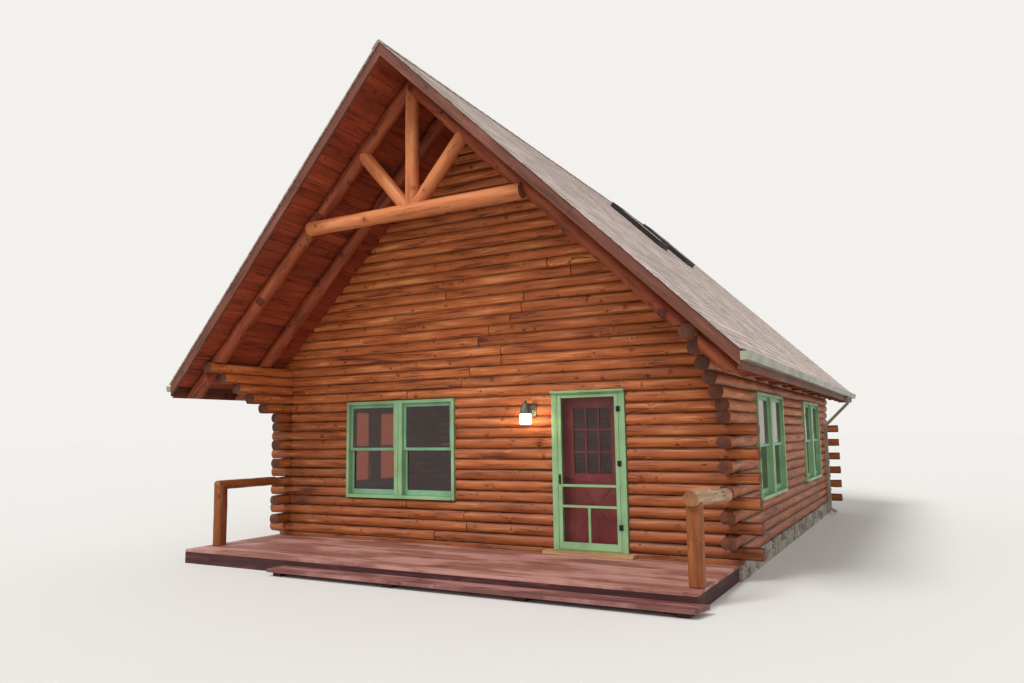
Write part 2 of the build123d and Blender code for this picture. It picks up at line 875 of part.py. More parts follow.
# Lantern
def lantern_body():
    """Wall plate, bent arm, hood, bottom ring and bulb holder."""
    y = front_y - lantern_reach
    jar_top = lantern_foot + jar_height
    outline = [(hood_radius * wide, hood_height * high) for wide, high in hood_profile]
    profile = make_face(Polyline((0, 0), *outline, (0, hood_height), close=True))
    hood = Pos(lantern_x, y, jar_top) * revolve(Plane.XZ * profile, Axis.Z)
    plate_z = jar_top + lantern_plate_rise
    plate = block(lantern_x - lantern_plate_width / 2, lantern_x + lantern_plate_width / 2,
                  front_y - lantern_plate_depth, front_y,
                  plate_z - lantern_plate_length / 2, plate_z + lantern_plate_length / 2)
    top = jar_top + hood_height
    path = FilletPolyline((lantern_x, front_y - lantern_plate_depth / 2, plate_z),
                          (lantern_x, front_y - arm_bend, plate_z),
                          (lantern_x, front_y - arm_bend, top + arm_rise),
                          (lantern_x, y, top + arm_rise),
                          (lantern_x, y, top - arm_radius), radius=arm_bend_radius)
    start = Plane(origin=path @ 0, z_dir=path % 0)
    arm = sweep(start * Circle(arm_radius), path=path)
    socket = rod((lantern_x, y, jar_top + arm_radius), (lantern_x, y, jar_top - socket_length), socket_radius)
    bulb = Pos(lantern_x, y, jar_top - socket_length - bulb_radius + bulb_seat) * Sphere(bulb_radius)
    return joined([hood, plate, arm, socket, bulb])


def lantern_jar():
    y = front_y - lantern_reach
    outer = Pos(lantern_x, y, lantern_foot + jar_height / 2) * Cylinder(jar_radius, jar_height)
    room = Pos(lantern_x, y, lantern_foot + jar_height / 2 + jar_wall) * Cylinder(jar_radius - jar_wall, jar_height)
    return outer - room


# Porch
def deck_boards():
    y1 = front_y - deck_wall_gap
    return block(-deck_left, deck_right, front_y - deck_depth, y1, deck_top - deck_board, deck_top)


def deck_frame():
    """Rim boards and joists that carry the boards from the ground."""
    y0, y1 = front_y - deck_depth, front_y - deck_wall_gap
    top = deck_top - deck_board
    rim = block(-deck_left, deck_right, y0, y1, 0, top)
    rim -= block(-deck_left + deck_rim, deck_right - deck_rim, y0 + deck_rim, y1 - deck_rim, 0, top)
    width = deck_left + deck_right - deck_rim
    count = int(width // deck_joist_spacing)
    joists = []
    for n in range(1, count):
        x = -deck_left + n * width / count
        joists.append(block(x, x + deck_rim, y0 + deck_rim, y1 - deck_rim, 0, top))
    return joined([rim, *joists])


def front_step():
    """Low tread along the deck on blocks that stand back from its edge."""
    y1 = front_y - deck_depth
    y0 = y1 - step_depth
    low = step_top - step_board
    tread = prism([(step_left, y0), (step_right - step_right_cut, y0), (step_right, y1), (step_left, y1)],
                  low, step_top)
    first = step_left + step_block_inset
    last = step_right - step_right_cut - step_block_inset - step_block
    blocks = []
    for n in range(step_blocks):
        x = first + n * (last - first) / (step_blocks - 1)
        blocks.append(block(x, x + step_block, y0 + step_block_inset, y1, 0, low))
    return joined([tread, *blocks])


def rail_rod(side, radius, extra=0):
    """Rail log carried on to the wall's axis, and by `extra` past its front end."""
    if side < 0:
        start = Vector(-wall_axis, front_y - left_rail_reach, left_rail_height)
        end = Vector(-wall_axis, front_axis, left_rail_height)
    else:
        start = Vector(right_post_x, front_y - right_rail_reach, right_rail_front)
        end = Vector(wall_axis, front_axis, right_rail_back)
    return rod(start - (end - start).normalized() * extra, end, radius)


def rail(side, radius):
    """Rail log that butts against the end of the side wall's log."""
    return rail_rod(side, radius) & block(-big, big, -big, front_axis - end_pass - joint_gap, 0, big)


def left_post():
    y = front_y - left_post_reach
    post = rod((-wall_axis, y, deck_top), (-wall_axis, y, left_rail_height), left_post_radius)
    return post - rail_rod(-1, left_rail_radius + joint_gap, left_post_radius)


def right_post():
    half = right_post_size / 2
    y = front_y - right_post_reach
    post = block(right_post_x - half, right_post_x + half, y - half, y + half, deck_top, right_rail_front)
    cut = rail_rod(1, right_rail_radius + joint_gap, right_post_size)
    return max((post - cut).solids(), key=lambda solid: solid.volume)


def build():
    walls_upper = side_upper()
    wall = side_wall()
    right_rafters = rafters()
    deck = roof_deck()
    cover = shingles()
    boards = fascia()
    trough = gutter()
    windows = window_places()
    frame, sashes, glass = [window_frame()], window_sashes(), window_glass()
    whole = frame + sashes
    return {
        "foundation": foundation(),
        "floor": floor(),
        "floor_joists": floor_joists(),
        "front_wall_left": front_wall_left(),
        "front_wall_right": front_wall_right(),
        "front_gable_wall": gable_wall(front_axis),
        "back_wall": back_wall(),
        "back_gable_wall": gable_wall(back_axis),
        "left_wall": mirrored(wall),
        "right_wall": wall,
        "left_upper_logs": mirrored(walls_upper),
        "right_upper_logs": walls_upper,
        "left_rafters": mirrored(right_rafters),
        "right_rafters": right_rafters,
        "truss_tie": truss_tie(),
        "king_post": king_post(),
        "truss_struts": truss_struts(),
        "left_roof_deck": mirrored(deck),
        "right_roof_deck": cut_skylights(deck),
        "left_shingles": mirrored(cover),
        "right_shingles": cut_skylights(cover),
        "ridge_cap": ridge_cap(),
        "left_fascia": mirrored(boards),
        "right_fascia": boards,
        "left_gutter": mirrored(trough),
        "right_gutter": trough,
        "skylight_frames": skylight_frames(),
        "skylight_glass": skylight_glass(),
        "front_window_frame": placed(frame, windows["front"]),
        "front_window_sashes": placed(sashes, windows["front"]),
        "front_window_glass": placed(glass, windows["front"]),
        "right_windows": placed(whole, windows["right"]),
        "right_window_glass": placed(glass, windows["right"]),
        "left_windows": placed(whole, windows["left"]),
        "left_window_glass": placed(glass, windows["left"]),
        "back_window": placed(whole, windows["back"]),
        "back_window_glass": placed(glass, windows["back"]),
        "door_frame": door_frame(),
        "door_step_board": front_step_board(),
        "door_hinges": frame_hinges(),
        "screen_door_frame": screen_door(),
        "screen_mesh": screen_mesh(),
        "screen_hardware": screen_hardware(),
        "entry_door_leaf": entry_door(),
        "entry_door_glass": entry_glass(),
        "entry_hardware": entry_hardware(),
        "lantern_body": lantern_body(),
        "lantern_jar": lantern_jar(),
        "deck_boards": deck_boards(),
        "deck_frame": deck_frame(),
        "front_step": front_step(),
        "left_rail": rail(-1, left_rail_radius),
        "right_rail": rail(1, right_rail_radius),
        "left_post": left_post(),
        "right_post": right_post(),
    }


os.makedirs("parts", exist_ok=True)
for name, shape in build().items():
    export_step(shape, f"parts/{name}.step")
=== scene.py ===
import math
import random

import bpy
import numpy as np
from mathutils import Matrix, Vector


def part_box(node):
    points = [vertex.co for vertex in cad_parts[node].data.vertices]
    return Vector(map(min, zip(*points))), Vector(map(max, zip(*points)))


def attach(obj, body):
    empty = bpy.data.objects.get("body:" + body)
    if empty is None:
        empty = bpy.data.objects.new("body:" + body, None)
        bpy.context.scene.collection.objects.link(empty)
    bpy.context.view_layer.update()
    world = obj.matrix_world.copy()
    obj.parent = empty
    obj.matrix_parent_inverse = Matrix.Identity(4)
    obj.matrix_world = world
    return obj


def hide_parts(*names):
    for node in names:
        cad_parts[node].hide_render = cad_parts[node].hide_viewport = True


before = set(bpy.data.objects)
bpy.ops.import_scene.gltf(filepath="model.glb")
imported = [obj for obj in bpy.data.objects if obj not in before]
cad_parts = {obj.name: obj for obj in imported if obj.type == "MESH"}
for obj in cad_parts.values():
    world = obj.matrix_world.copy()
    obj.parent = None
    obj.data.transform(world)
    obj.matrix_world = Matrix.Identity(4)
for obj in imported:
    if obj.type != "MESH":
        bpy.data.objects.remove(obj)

bl_info = {
    "name": "Log cabin",
    "version": (1, 0, 0),
    "blender": (4, 5, 0),
    "location": "View3D > Sidebar > Cabin",
    "description": "Builds the logs, boards, shingles, windows and doors of the cabin on its packed frame",
    "category": "Object",
}

# A face that points along a log more than this is its end.
SLANTED = 0.7
# Waves of a peeled log as depth and width: slow ones, and in the walls short ones from the knife.
WALL_WAVES = ((0.018, 0.5), (0.014, 0.13))
RAFTER_WAVES = (0.03, 0.28)
TRUSS_WAVES = {"tie_log": (0.014, 0.35), "king_log": (0.012, 0.35), "strut_logs": (0.012, 0.35)}
RAIL_WAVES = {"left": (0.012, 0.25), "right": (0.016, 0.25)}
# Knots of a rafter: how wide and how proud they are, and the least and most distance of the first from
# the log's end and of each from the one before.
KNOT_REACH = 0.062
KNOT_HEIGHT = 0.055
FIRST_KNOT = (0.1, 0.5)
NEXT_KNOT = (0.35, 0.8)
# Above this height the painted gradient of light and shade on the walls ends, and no log gets paler.
SHADE_GRADIENT_TOP = 3.8
# Growth rings to a metre, nearly.
RINGS = 90.0
SIDES = ((-1, "left"), (1, "right"))


def metres(name, description, default):
    """Size that a user can change, in metres."""
    return bpy.props.FloatProperty(name=name, description=description, default=default, unit="LENGTH")


def number(name, description, default):
    """Number of pieces that a user can change."""
    return bpy.props.IntProperty(name=name, description=description, default=default)


def hex_value(name, description, default):
    """Colour that a user can change, as an sRGB hex value."""
    return bpy.props.StringProperty(name=name, description=description, default=default)


class CabinSizes(bpy.types.PropertyGroup):
    """Sizes of the cabin, in metres."""
    log_radius: metres("Log radius", "Radius of a wall log", 0.095)
    course: metres("Course", "Height of one course of logs", 0.1524)
    wall_base: metres("Wall base", "Underside of the sill logs", 0.25)
    wall_axis: metres("Side wall axis", "Side walls' axis from the middle", 3.75)
    front_y: metres("Front", "Outer crest of the front wall", -3.88)
    back_y: metres("Back", "Outer crest of the back wall", 5.27)
    door_courses: number("Courses to the heads", "Courses below the door and window heads", 14)
    side_courses: number("Side courses", "Courses in a side wall", 18)
    crossed_courses: number("Crossed courses", "Courses that cross at the corners", 12)
    end_pass: metres("Log ends", "Log end past the wall it crosses", 0.35)
    corbel_reach: metres("Front corbels", "Top corbel log in front of the wall", 1.7)
    corbel_step: metres("Front corbel step", "Each lower corbel is this much shorter", 0.286)
    back_corbel_reach: metres("Back corbels", "Top corbel log behind the wall", 0.65)
    back_corbel_step: metres("Back corbel step", "Each lower corbel is this much shorter", 0.075)
    pitch: bpy.props.FloatProperty(name="Roof pitch", description="Slope of the roof, in degrees",
                                   default=44.6)
    ridge: metres("Ridge", "Height of the shingles at the ridge", 6.97)
    roof_edge: metres("Eave", "Shingle edge from the middle", 4.36)
    roof_front: metres("Prow", "Shingle edge at the front of the ridge", -6.17)
    roof_back: metres("Roof back", "Shingle edge at the back", 6.17)
    prow_rake: bpy.props.FloatProperty(
        name="Prow rake", description="How far the front edge runs back for each metre of width",
        default=0.39 / 4.36)
    roof_depth: metres("Roof depth", "Shingles, sheathing and ceiling", 0.14)
    board_width: metres("Ceiling board", "Width of a ceiling board", 0.14)
    exposure: metres("Shingle exposure", "Visible height of a course of shingles", 0.143)
    rafter_radius: metres("Rafter radius", "Radius of a round rafter", 0.1)
    rafter_spacing: metres("Rafter spacing", "Distance between rafters", 0.94)
    rafter_count: number("Rafters", "Rafters on each slope", 13)
    window_width: metres("Window width", "Width over the casings", 2.08)
    deck_board: metres("Deck board", "Width of a porch board", 0.14)


class CabinColours(bpy.types.PropertyGroup):
    """Colours of the cabin as sRGB hex values."""
    log: hex_value("Log", "Oiled pine log", "#a3582c")
    log_pale: hex_value("Pale log", "Pale streaks of the logs", "#cb8350")
    log_dark: hex_value("Dark log", "Dark streaks and knots of the logs", "#602c16")
    rafter: hex_value("Rafter", "Dark oiled rafter log", "#8f4224")
    soffit: hex_value("Ceiling board", "Dark oiled ceiling board", "#8a3a22")
    peeled: hex_value("Peeled log", "Tie, posts and braces", "#bb6d3f")
    weathered: hex_value("Weathered log", "Greyed log of the porch rail", "#a08065")
    shingle: hex_value("Shingle", "Mineral shingle", "#c8b8b0")
    fascia: hex_value("Fascia", "Brown stained board", "#67392a")
    trim: hex_value("Trim", "Green painted casing", "#82a878")
    sash: hex_value("Sash", "Green painted sash", "#6f9c7a")
    door: hex_value("Door", "Burgundy painted door", "#812423")
    deck: hex_value("Deck", "Stained porch board", "#8a584c")
    step: hex_value("Step", "Stained tread", "#70443f")
    board: hex_value("Bare board", "Bare pine board", "#a9855c")
    # The foundation stone is coloured darker as painted shade where it shows under the wall.
    stone: hex_value("Stone", "Foundation stone", "#6f675d")
    metal: hex_value("Black iron", "Hinges and handles", "#1d1c1b")
    lantern: hex_value("Lantern", "Aged zinc lantern", "#5d6152")
    # The porch frame is coloured darker than the boards as painted shade under the deck.
    rim: hex_value("Porch frame", "Stained frame of the porch, darkened as painted shade", "#3a1b1b")
    post: hex_value("Post", "Oiled porch post", "#824720")
    gutter: hex_value("Gutter", "Painted aluminium gutter", "#8b8a78")
    floor: hex_value("Floor", "Studio floor", "#dcdad6")


def linear(colour):
    """Linear colour of an sRGB hex value."""
    parts = [int(colour[i:i + 2], 16) / 255 for i in (1, 3, 5)]
    return (*[c / 12.92 if c <= 0.04045 else ((c + 0.055) / 1.055) ** 2.4 for c in parts], 1.0)


def blend(first, second, share):
    """Hex value between two others."""
    pairs = [(int(first[i:i + 2], 16), int(second[i:i + 2], 16)) for i in (1, 3, 5)]
    return "#" + "".join(f"{round(a + (b - a) * share):02x}" for a, b in pairs)


# Meshes
def deselect():
    if bpy.context.mode != "OBJECT":
        bpy.ops.object.mode_set(mode="OBJECT")
    bpy.ops.object.select_all(action="DESELECT")


def activate(obj):
    deselect()
    obj.select_set(True)
    bpy.context.view_layer.objects.active = obj


def applied(obj):
    activate(obj)
    bpy.ops.object.transform_apply(location=True, rotation=True, scale=True)
    return obj


def picked(obj, kind, test):
    """Opens edit mode with only the vertices, edges or faces that pass the test selected."""
    activate(obj)
    bpy.ops.object.mode_set(mode="EDIT")
    bpy.ops.mesh.select_mode(type=kind)
    bpy.ops.mesh.select_all(action="DESELECT")
    bpy.ops.object.mode_set(mode="OBJECT")
    mesh = obj.data
    items = {"VERT": mesh.vertices, "EDGE": mesh.edges, "FACE": mesh.polygons}[kind]
    for item in items:
        item.select = test(item)
    bpy.ops.object.mode_set(mode="EDIT")


def cut(obj, point, normal):
    """Takes away what lies beyond a plane and closes the cut."""
    activate(obj)
    bpy.ops.object.mode_set(mode="EDIT")
    bpy.ops.mesh.select_all(action="SELECT")
    bpy.ops.mesh.bisect(plane_co=point, plane_no=normal, use_fill=True, clear_outer=True)
    bpy.ops.object.mode_set(mode="OBJECT")


def joined(pieces, name):
    deselect()
    for piece in pieces:
        piece.select_set(True)
    bpy.context.view_layer.objects.active = pieces[0]
    if len(pieces) > 1:
        bpy.ops.object.join()
    whole = bpy.context.view_layer.objects.active
    whole.name = name
    whole.data.name = name
    return whole


def smooth(obj, degrees=35.0):
    activate(obj)
    bpy.ops.object.shade_smooth_by_angle(angle=math.radians(degrees))


def modify(obj, kind, **settings):
    """Adds a modifier and applies it."""
    activate(obj)
    modifier = obj.modifiers.new(kind.lower(), kind)
    for key, value in settings.items():
        setattr(modifier, key, value)
    bpy.ops.object.modifier_apply(modifier=modifier.name)


def finished(obj, body="cabin", nodes=()):
    """Gives a piece its body, and hides the nodes of the frame that it stands for."""
    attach(obj, body)
    if nodes:
        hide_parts(*nodes)


# Logs and boards are drawn once along X and copied. The attribute "local" keeps each copy's own
# coordinates, so that the grain follows it, and "tint" keeps a number of its own for its tone.
LIBRARY = {}


def log_stock(rings, length, radius, sides, half_height):
    """Log along X with rounded ends, and flats above and below where the courses meet."""
    key = ("log", rings, radius, sides, half_height)
    if key in LIBRARY:
        return LIBRARY[key]
    deselect()
    crown = 0.006
    bpy.ops.mesh.primitive_cylinder_add(vertices=sides, radius=radius, depth=length - 2 * crown,
                                        rotation=(0, math.pi / 2, 0))
    obj = applied(bpy.context.object)
    points = obj.data.vertices
    picked(obj, "EDGE", lambda e: abs(points[e.vertices[0]].co.x - points[e.vertices[1]].co.x) > crown)
    bpy.ops.mesh.subdivide(number_cuts=rings - 1)
    picked(obj, "FACE", lambda f: abs(f.normal.x) > SLANTED)
    bpy.ops.mesh.inset(thickness=0.009, depth=crown)
    if half_height:
        for side in (-1, 1):
            picked(obj, "VERT", lambda v: side * v.co.z > half_height)
            bpy.ops.transform.resize(value=(1, 1, 0), center_override=(0, 0, side * half_height))
    bpy.ops.object.mode_set(mode="OBJECT")
    for face in obj.data.polygons:
        face.material_index = 1 if abs(face.normal.x) > SLANTED else 0
    LIBRARY[key] = obj
    return obj


def board_stock(width, thickness, bevel):
    """Board along X, one metre long, with its edges eased."""
    key = ("board", round(width, 4), round(thickness, 4), bevel)
    if key in LIBRARY:
        return LIBRARY[key]
    deselect()
    bpy.ops.mesh.primitive_cube_add(size=1, scale=(1, width, thickness))
    obj = applied(bpy.context.object)
    bpy.ops.object.mode_set(mode="EDIT")
    bpy.ops.mesh.select_all(action="SELECT")
    bpy.ops.mesh.bevel(offset=bevel, segments=1, affect="EDGES")
    bpy.ops.object.mode_set(mode="OBJECT")
    LIBRARY[key] = obj
    return obj


def copied(stock, matrix, tint, finish, stretch=0.0, scale=(1, 1, 1)):
    """Copy of a stock piece: its two ends moved apart, scaled, and put in place."""
    mesh = stock.data.copy()
    for name in finish:
        mesh.materials.append(MATERIALS[name])
    count = len(mesh.vertices)
    points = np.empty(count * 3)
    mesh.vertices.foreach_get("co", points)
    points = points.reshape(-1, 3)
    points[:, 0] += np.sign(points[:, 0]) * stretch / 2
    points *= scale
    mesh.vertices.foreach_set("co", points.ravel())
    local = mesh.attributes.new("local", "FLOAT_VECTOR", "POINT")
    local.data.foreach_set("vector", points.ravel())
    tone = mesh.attributes.new("tint", "FLOAT", "POINT")
    tone.data.foreach_set("value", np.full(count, tint))
    mesh.transform(matrix)
    obj = bpy.data.objects.new(stock.name, mesh)
    bpy.context.collection.objects.link(obj)
    return obj


def between(start, end, up=(0, 0, 1)):
    """Matrix that lays a piece drawn along X from start to end, its Z nearest to `up`."""
    start, end = Vector(start), Vector(end)
    x = (end - start).normalized()
    y = Vector(up).cross(x).normalized()
    z = x.cross(y)
    turn = Matrix((x, y, z)).transposed().to_4x4()
    return Matrix.Translation((start + end) / 2) @ turn


def laid_log(start, end, radius, rng, finish=("log", "log_end"), ring=0.12, sides=20, half_height=None,
             up=(0, 0, 1), spread=0.03):
    """Log between two points, its thickness a little its own, with points about every `ring` metres."""
    length = (Vector(end) - Vector(start)).length
    rings = max(2, round(length / ring))
    stock = log_stock(rings, rings * ring, radius, sides, half_height)
    wide = 1 + rng.uniform(-spread, spread)
    tall = 1 if half_height else wide
    scale = (length / (rings * ring), wide, tall)
    return copied(stock, between(start, end, up), rng.random(), finish, scale=scale)


def laid_board(low, high, along, rng, finish, bevel=0.002):
    """Board that fills a box, its grain along axis 0, 1 or 2."""
    low, high = Vector(low), Vector(high)
    size, middle = high - low, (high + low) / 2
    across = {0: (1, 2), 1: (0, 2), 2: (1, 0)}[along]
    stock = board_stock(size[across[0]], size[across[1]], bevel)
    axis = Vector([1 if n == along else 0 for n in range(3)])
    up = Vector([1 if n == across[1] else 0 for n in range(3)])
    place = between(middle - axis, middle + axis, up)
    return copied(stock, place, rng.random(), [finish], stretch=size[along] - 1)


def boarded(boards, rng, finish, bevel, name):
    """Boards joined into one piece. Each is given by two corners of its box and the axis of its grain."""
    return joined([laid_board(low, high, along, rng, finish, bevel) for low, high, along in boards], name)


def turned(profile, place, sides):
    """Piece turned on an upright axis: a disc drawn out ring by ring along pairs of radius and height."""
    deselect()
    radius, height = profile[0]
    bpy.ops.mesh.primitive_circle_add(vertices=sides, radius=radius, location=(0, 0, height),
                                      fill_type="NGON")
    obj = applied(bpy.context.object)
    bpy.ops.object.mode_set(mode="EDIT")
    bpy.ops.mesh.select_all(action="SELECT")
    for (wide, high), (next_wide, next_high) in zip(profile, profile[1:]):
        bpy.ops.mesh.extrude_region_move(TRANSFORM_OT_translate={"value": (0, 0, next_high - high)})
        share = next_wide / wide
        bpy.ops.transform.resize(value=(share, share, 1), center_override=(0, 0, next_high))
    bpy.ops.mesh.select_all(action="SELECT")
    bpy.ops.mesh.normals_make_consistent(inside=False)
    bpy.ops.object.mode_set(mode="OBJECT")
    obj.location = place
    return applied(obj)


def rod(start, end, radius, sides=16):
    """Round rod between two points, with domed ends so that rods meet in a smooth bend."""
    start, end = Vector(start), Vector(end)
    length = (end - start).length
    angles = [math.radians(a) for a in (15, 40, 65, 85)]
    dome = [(radius * math.cos(a), length / 2 + radius * math.sin(a)) for a in angles]
    profile = [(r, -z) for r, z in reversed(dome)] + dome
    obj = turned(profile, (0, 0, 0), sides)
    turn = (end - start).to_track_quat("Z", "Y").to_matrix().to_4x4()
    obj.data.transform(Matrix.Translation((start + end) / 2) @ turn)
    return obj


def wavy(obj, strength, size):
    """Slow waves over a surface, as hand-peeled logs have."""
    texture = bpy.data.textures.new(f"{obj.name}_waves", "CLOUDS")
    texture.noise_scale = size
    modify(obj, "DISPLACE", texture=texture, strength=strength, mid_level=0.5, texture_coords="LOCAL")


def knotty(log, start, end, radius, rng):
    """Swells a log round the places where its branches grew, and keeps how far in the attribute "swell"."""
    start, span = Vector(start), Vector(end) - Vector(start)
    along = span.normalized()
    mesh = log.data
    points, normals = np.empty(len(mesh.vertices) * 3), np.empty(len(mesh.vertices) * 3)
    mesh.vertices.foreach_get("co", points)
    mesh.vertices.foreach_get("normal", normals)
    points, normals = points.reshape(-1, 3), normals.reshape(-1, 3)
    swell = np.zeros(len(points))
    reach = rng.uniform(*FIRST_KNOT)
    while reach < span.length:
        turn = Matrix.Rotation(rng.uniform(0, 2 * math.pi), 3, along)
        spot = start + along * reach + turn @ along.orthogonal().normalized() * radius
        near = np.linalg.norm(points - np.array(spot), axis=1)
        swell = np.maximum(swell, rng.uniform(0.5, 1.0) * np.exp(-(near / KNOT_REACH) ** 2))
        reach += rng.uniform(*NEXT_KNOT)
    points += normals * (KNOT_HEIGHT * swell)[:, None]
    mesh.vertices.foreach_set("co", points.ravel())
    mesh.attributes.new("swell", "FLOAT", "POINT").data.foreach_set("value", swell)
    return log


# Walls. Windows fill the courses from the first number up to the second. The middle of the front one is
# given as x, that of the side ones as metres behind the front, and the doorway by its left and right edge.
WINDOW_COURSES = (4, 14)
FRONT_WINDOW = -1.37
SIDE_WINDOWS = (2.4, 6.75)
DOOR = (1.3, 2.39)
# Gap of a butt joint, and the shortest log that one may leave.
BUTT_GAP = 0.002
SHORTEST = 1.0
# Board on edge that fills what is left between a side wall's top log and the roof.
BLOCKING = {"half": 0.057, "inset": 0.1, "foot": 0.01, "head": 0.11}
# Under the roof: its shingles' depth, and how far the eave boards hang below them.
SHINGLE_DEPTH = 0.015
EAVE_DROP = 0.19


def course_z(sizes, course):
    """Middle of a course, counted from 0 at the sill."""
    return sizes.wall_base + (course + 0.5) * sizes.course


def split(start, end, rng, at_least=2.4, at_most=4.6):
    """Lengths of a course between butt joints."""
    parts, x = [], start
    while end - x > at_most:
        step = rng.uniform(at_least, at_most)
        if end - x - step < SHORTEST:
            break
        parts.append((x, x + step - BUTT_GAP))
        x += step
    parts.append((x, end))
    return parts


def less(spans, low, high):
    """Spans with what lies between low and high taken out."""
    kept = []
    for start, end in spans:
        if high <= start or low >= end:
            kept.append((start, end))
            continue
        if start < low:
            kept.append((start, low))
        if end > high:
            kept.append((high, end))
    return kept


def roof_z(sizes, x, offset):
    """Height of a plane `offset` under the shingles' top, at x."""
    pitch = math.radians(sizes.pitch)
    return sizes.ridge - offset / math.cos(pitch) - math.tan(pitch) * abs(x)


def eave_foot(sizes):
    """Height of the lower edge of the eave boards."""
    return roof_z(sizes, sizes.roof_edge, SHINGLE_DEPTH) - EAVE_DROP


def under_roof(obj, sizes, offset):
    """Trims a piece to a plane under both slopes."""
    pitch = math.radians(sizes.pitch)
    top = (0, 0, roof_z(sizes, 0, offset))
    for side in (-1, 1):
        cut(obj, top, (side * math.sin(pitch), 0, math.cos(pitch)))


def gable_end(sizes, course):
    """How far a course of a gable wall runs from the middle."""
    crest = sizes.wall_axis + sizes.log_radius
    if course >= sizes.side_courses:
        return crest
    crosses = course % 2 == 0 and course < sizes.crossed_courses
    return sizes.wall_axis + sizes.end_pass if crosses else sizes.wall_axis - sizes.log_radius


def laid_course(sizes, course, span, holes, rng, spot):
    """Logs of one course, less its holes. `spot` turns a place along the course into x and y."""
    spans = [span]
    for low, high in holes:
        spans = less(spans, low, high)
    z = course_z(sizes, course)
    parts = [part for span in spans for part in split(*span, rng)]
    return [laid_log((*spot(low), z), (*spot(high), z), sizes.log_radius, rng, half_height=sizes.course / 2)
            for low, high in parts]


def gable_course(sizes, course, axis, holes, rng, ends=None):
    """Logs of one course of a gable wall."""
    span = ends or (-gable_end(sizes, course), gable_end(sizes, course))
    return laid_course(sizes, course, span, holes, rng, lambda x: (x, axis))


def side_course(sizes, course, side, holes, rng):
    """Logs of one course of a side wall."""
    front, back = sizes.front_y + sizes.log_radius, sizes.back_y - sizes.log_radius
    if course % 2:
        start, end = front - sizes.end_pass, back + sizes.end_pass
    else:
        start, end = front + sizes.log_radius, back - sizes.log_radius
    if course >= sizes.crossed_courses:
        below = sizes.side_courses - 1 - course
        start = sizes.front_y - sizes.corbel_reach + below * sizes.corbel_step
        end = sizes.back_y + sizes.back_corbel_reach - below * sizes.back_corbel_step
    x = side * sizes.wall_axis
    return laid_course(sizes, course, (start, end), holes, rng, lambda y: (x, y))


def log_wall(name, pieces, node_name, sizes=None):
    """Joins the logs of a wall, and trims them under the roof if the sizes are given."""
    wall = joined(pieces, name)
    for depth, width in WALL_WAVES:
        wavy(wall, depth, width)
    if sizes:
        under_roof(wall, sizes, sizes.roof_depth)
    smooth(wall, 38)
    finished(wall, nodes=[node_name])


class CABIN_OT_walls(bpy.types.Operator):
    """Lay the log walls, course by course, with their butt joints and crossed ends"""
    bl_idname = "cabin.walls"
    bl_label = "Log walls"

    def execute(self, context):
        sizes = context.scene.cabin_sizes
        half = sizes.window_width / 2
        front = sizes.front_y + sizes.log_radius
        back = sizes.back_y - sizes.log_radius
        top_course = math.ceil((sizes.ridge - sizes.wall_base) / sizes.course)

        def beside(course, centre):
            low, high = WINDOW_COURSES
            return [(centre - half, centre + half)] if low <= course < high else []

        rng = random.Random(11)
        left, right = [], []
        for n in range(sizes.door_courses):
            left += gable_course(sizes, n, front, beside(n, FRONT_WINDOW), rng,
                                 (-gable_end(sizes, n), DOOR[0]))
            right += gable_course(sizes, n, front, [], rng, (DOOR[1], gable_end(sizes, n)))
        log_wall("front_logs_left", left, "front_wall_left")
        log_wall("front_logs_right", right, "front_wall_right")
        back_logs = []
        for n in range(sizes.door_courses):
            back_logs += gable_course(sizes, n, back, beside(n, 0.0), rng)
        log_wall("back_logs", back_logs, "back_wall")
        slope = math.tan(math.radians(sizes.pitch))
        for word, axis in (("front", front), ("back", back)):
            logs = []
            for n in range(sizes.door_courses, top_course):
                room = roof_z(sizes, 0, sizes.roof_depth) - course_z(sizes, n) + sizes.course / 2
                end = min(gable_end(sizes, n), room / slope)
                logs += gable_course(sizes, n, axis, [], rng, (-end, end))
            log_wall(f"{word}_gable_logs", logs, f"{word}_gable_wall", sizes)
        for side, word in SIDES:
            low, high = [], []
            for n in range(sizes.side_courses):
                holes = []
                if WINDOW_COURSES[0] <= n < WINDOW_COURSES[1]:
                    centres = [sizes.front_y + y for y in SIDE_WINDOWS]
                    holes = [(y - half, y + half) for y in centres]
                (low if n < sizes.door_courses else high).extend(side_course(sizes, n, side, holes, rng))
            top = course_z(sizes, sizes.side_courses - 0.5)
            middle, thick, inset = side * sizes.wall_axis, BLOCKING["half"], BLOCKING["inset"]
            blocking = laid_board((middle - thick, front + inset, top - BLOCKING["foot"]),
                                  (middle + thick, back - inset, top + BLOCKING["head"]), 1, rng, "log")
            log_wall(f"{word}_logs", low, f"{word}_wall")
            log_wall(f"{word}_top_logs", [*high, blocking], f"{word}_upper_logs", sizes)
        return {"FINISHED"}


# Roof
def slope_point(sizes, side, y, down, out):
    """Point on a slope: metres down from the ridge, and out from the shingles' top."""
    pitch = math.radians(sizes.pitch)
    return Vector((side * (down * math.cos(pitch) + out * math.sin(pitch)), y,
                   sizes.ridge - down * math.sin(pitch) + out * math.cos(pitch)))


def slope_normal(sizes, side):
    """Direction straight out of a slope."""
    pitch = math.radians(sizes.pitch)
    return Vector((side * math.sin(pitch), 0, math.cos(pitch)))


def slope_length(sizes, x):
    """How far down a slope x lies."""
    return x / math.cos(math.radians(sizes.pitch))


def front_edge(sizes, down, inset=0.0):
    """Y of the roof's front edge on a row that lies `down` from the ridge."""
    x = down * math.cos(math.radians(sizes.pitch))
    return sizes.roof_front + sizes.prow_rake * x + inset * math.hypot(1, sizes.prow_rake)


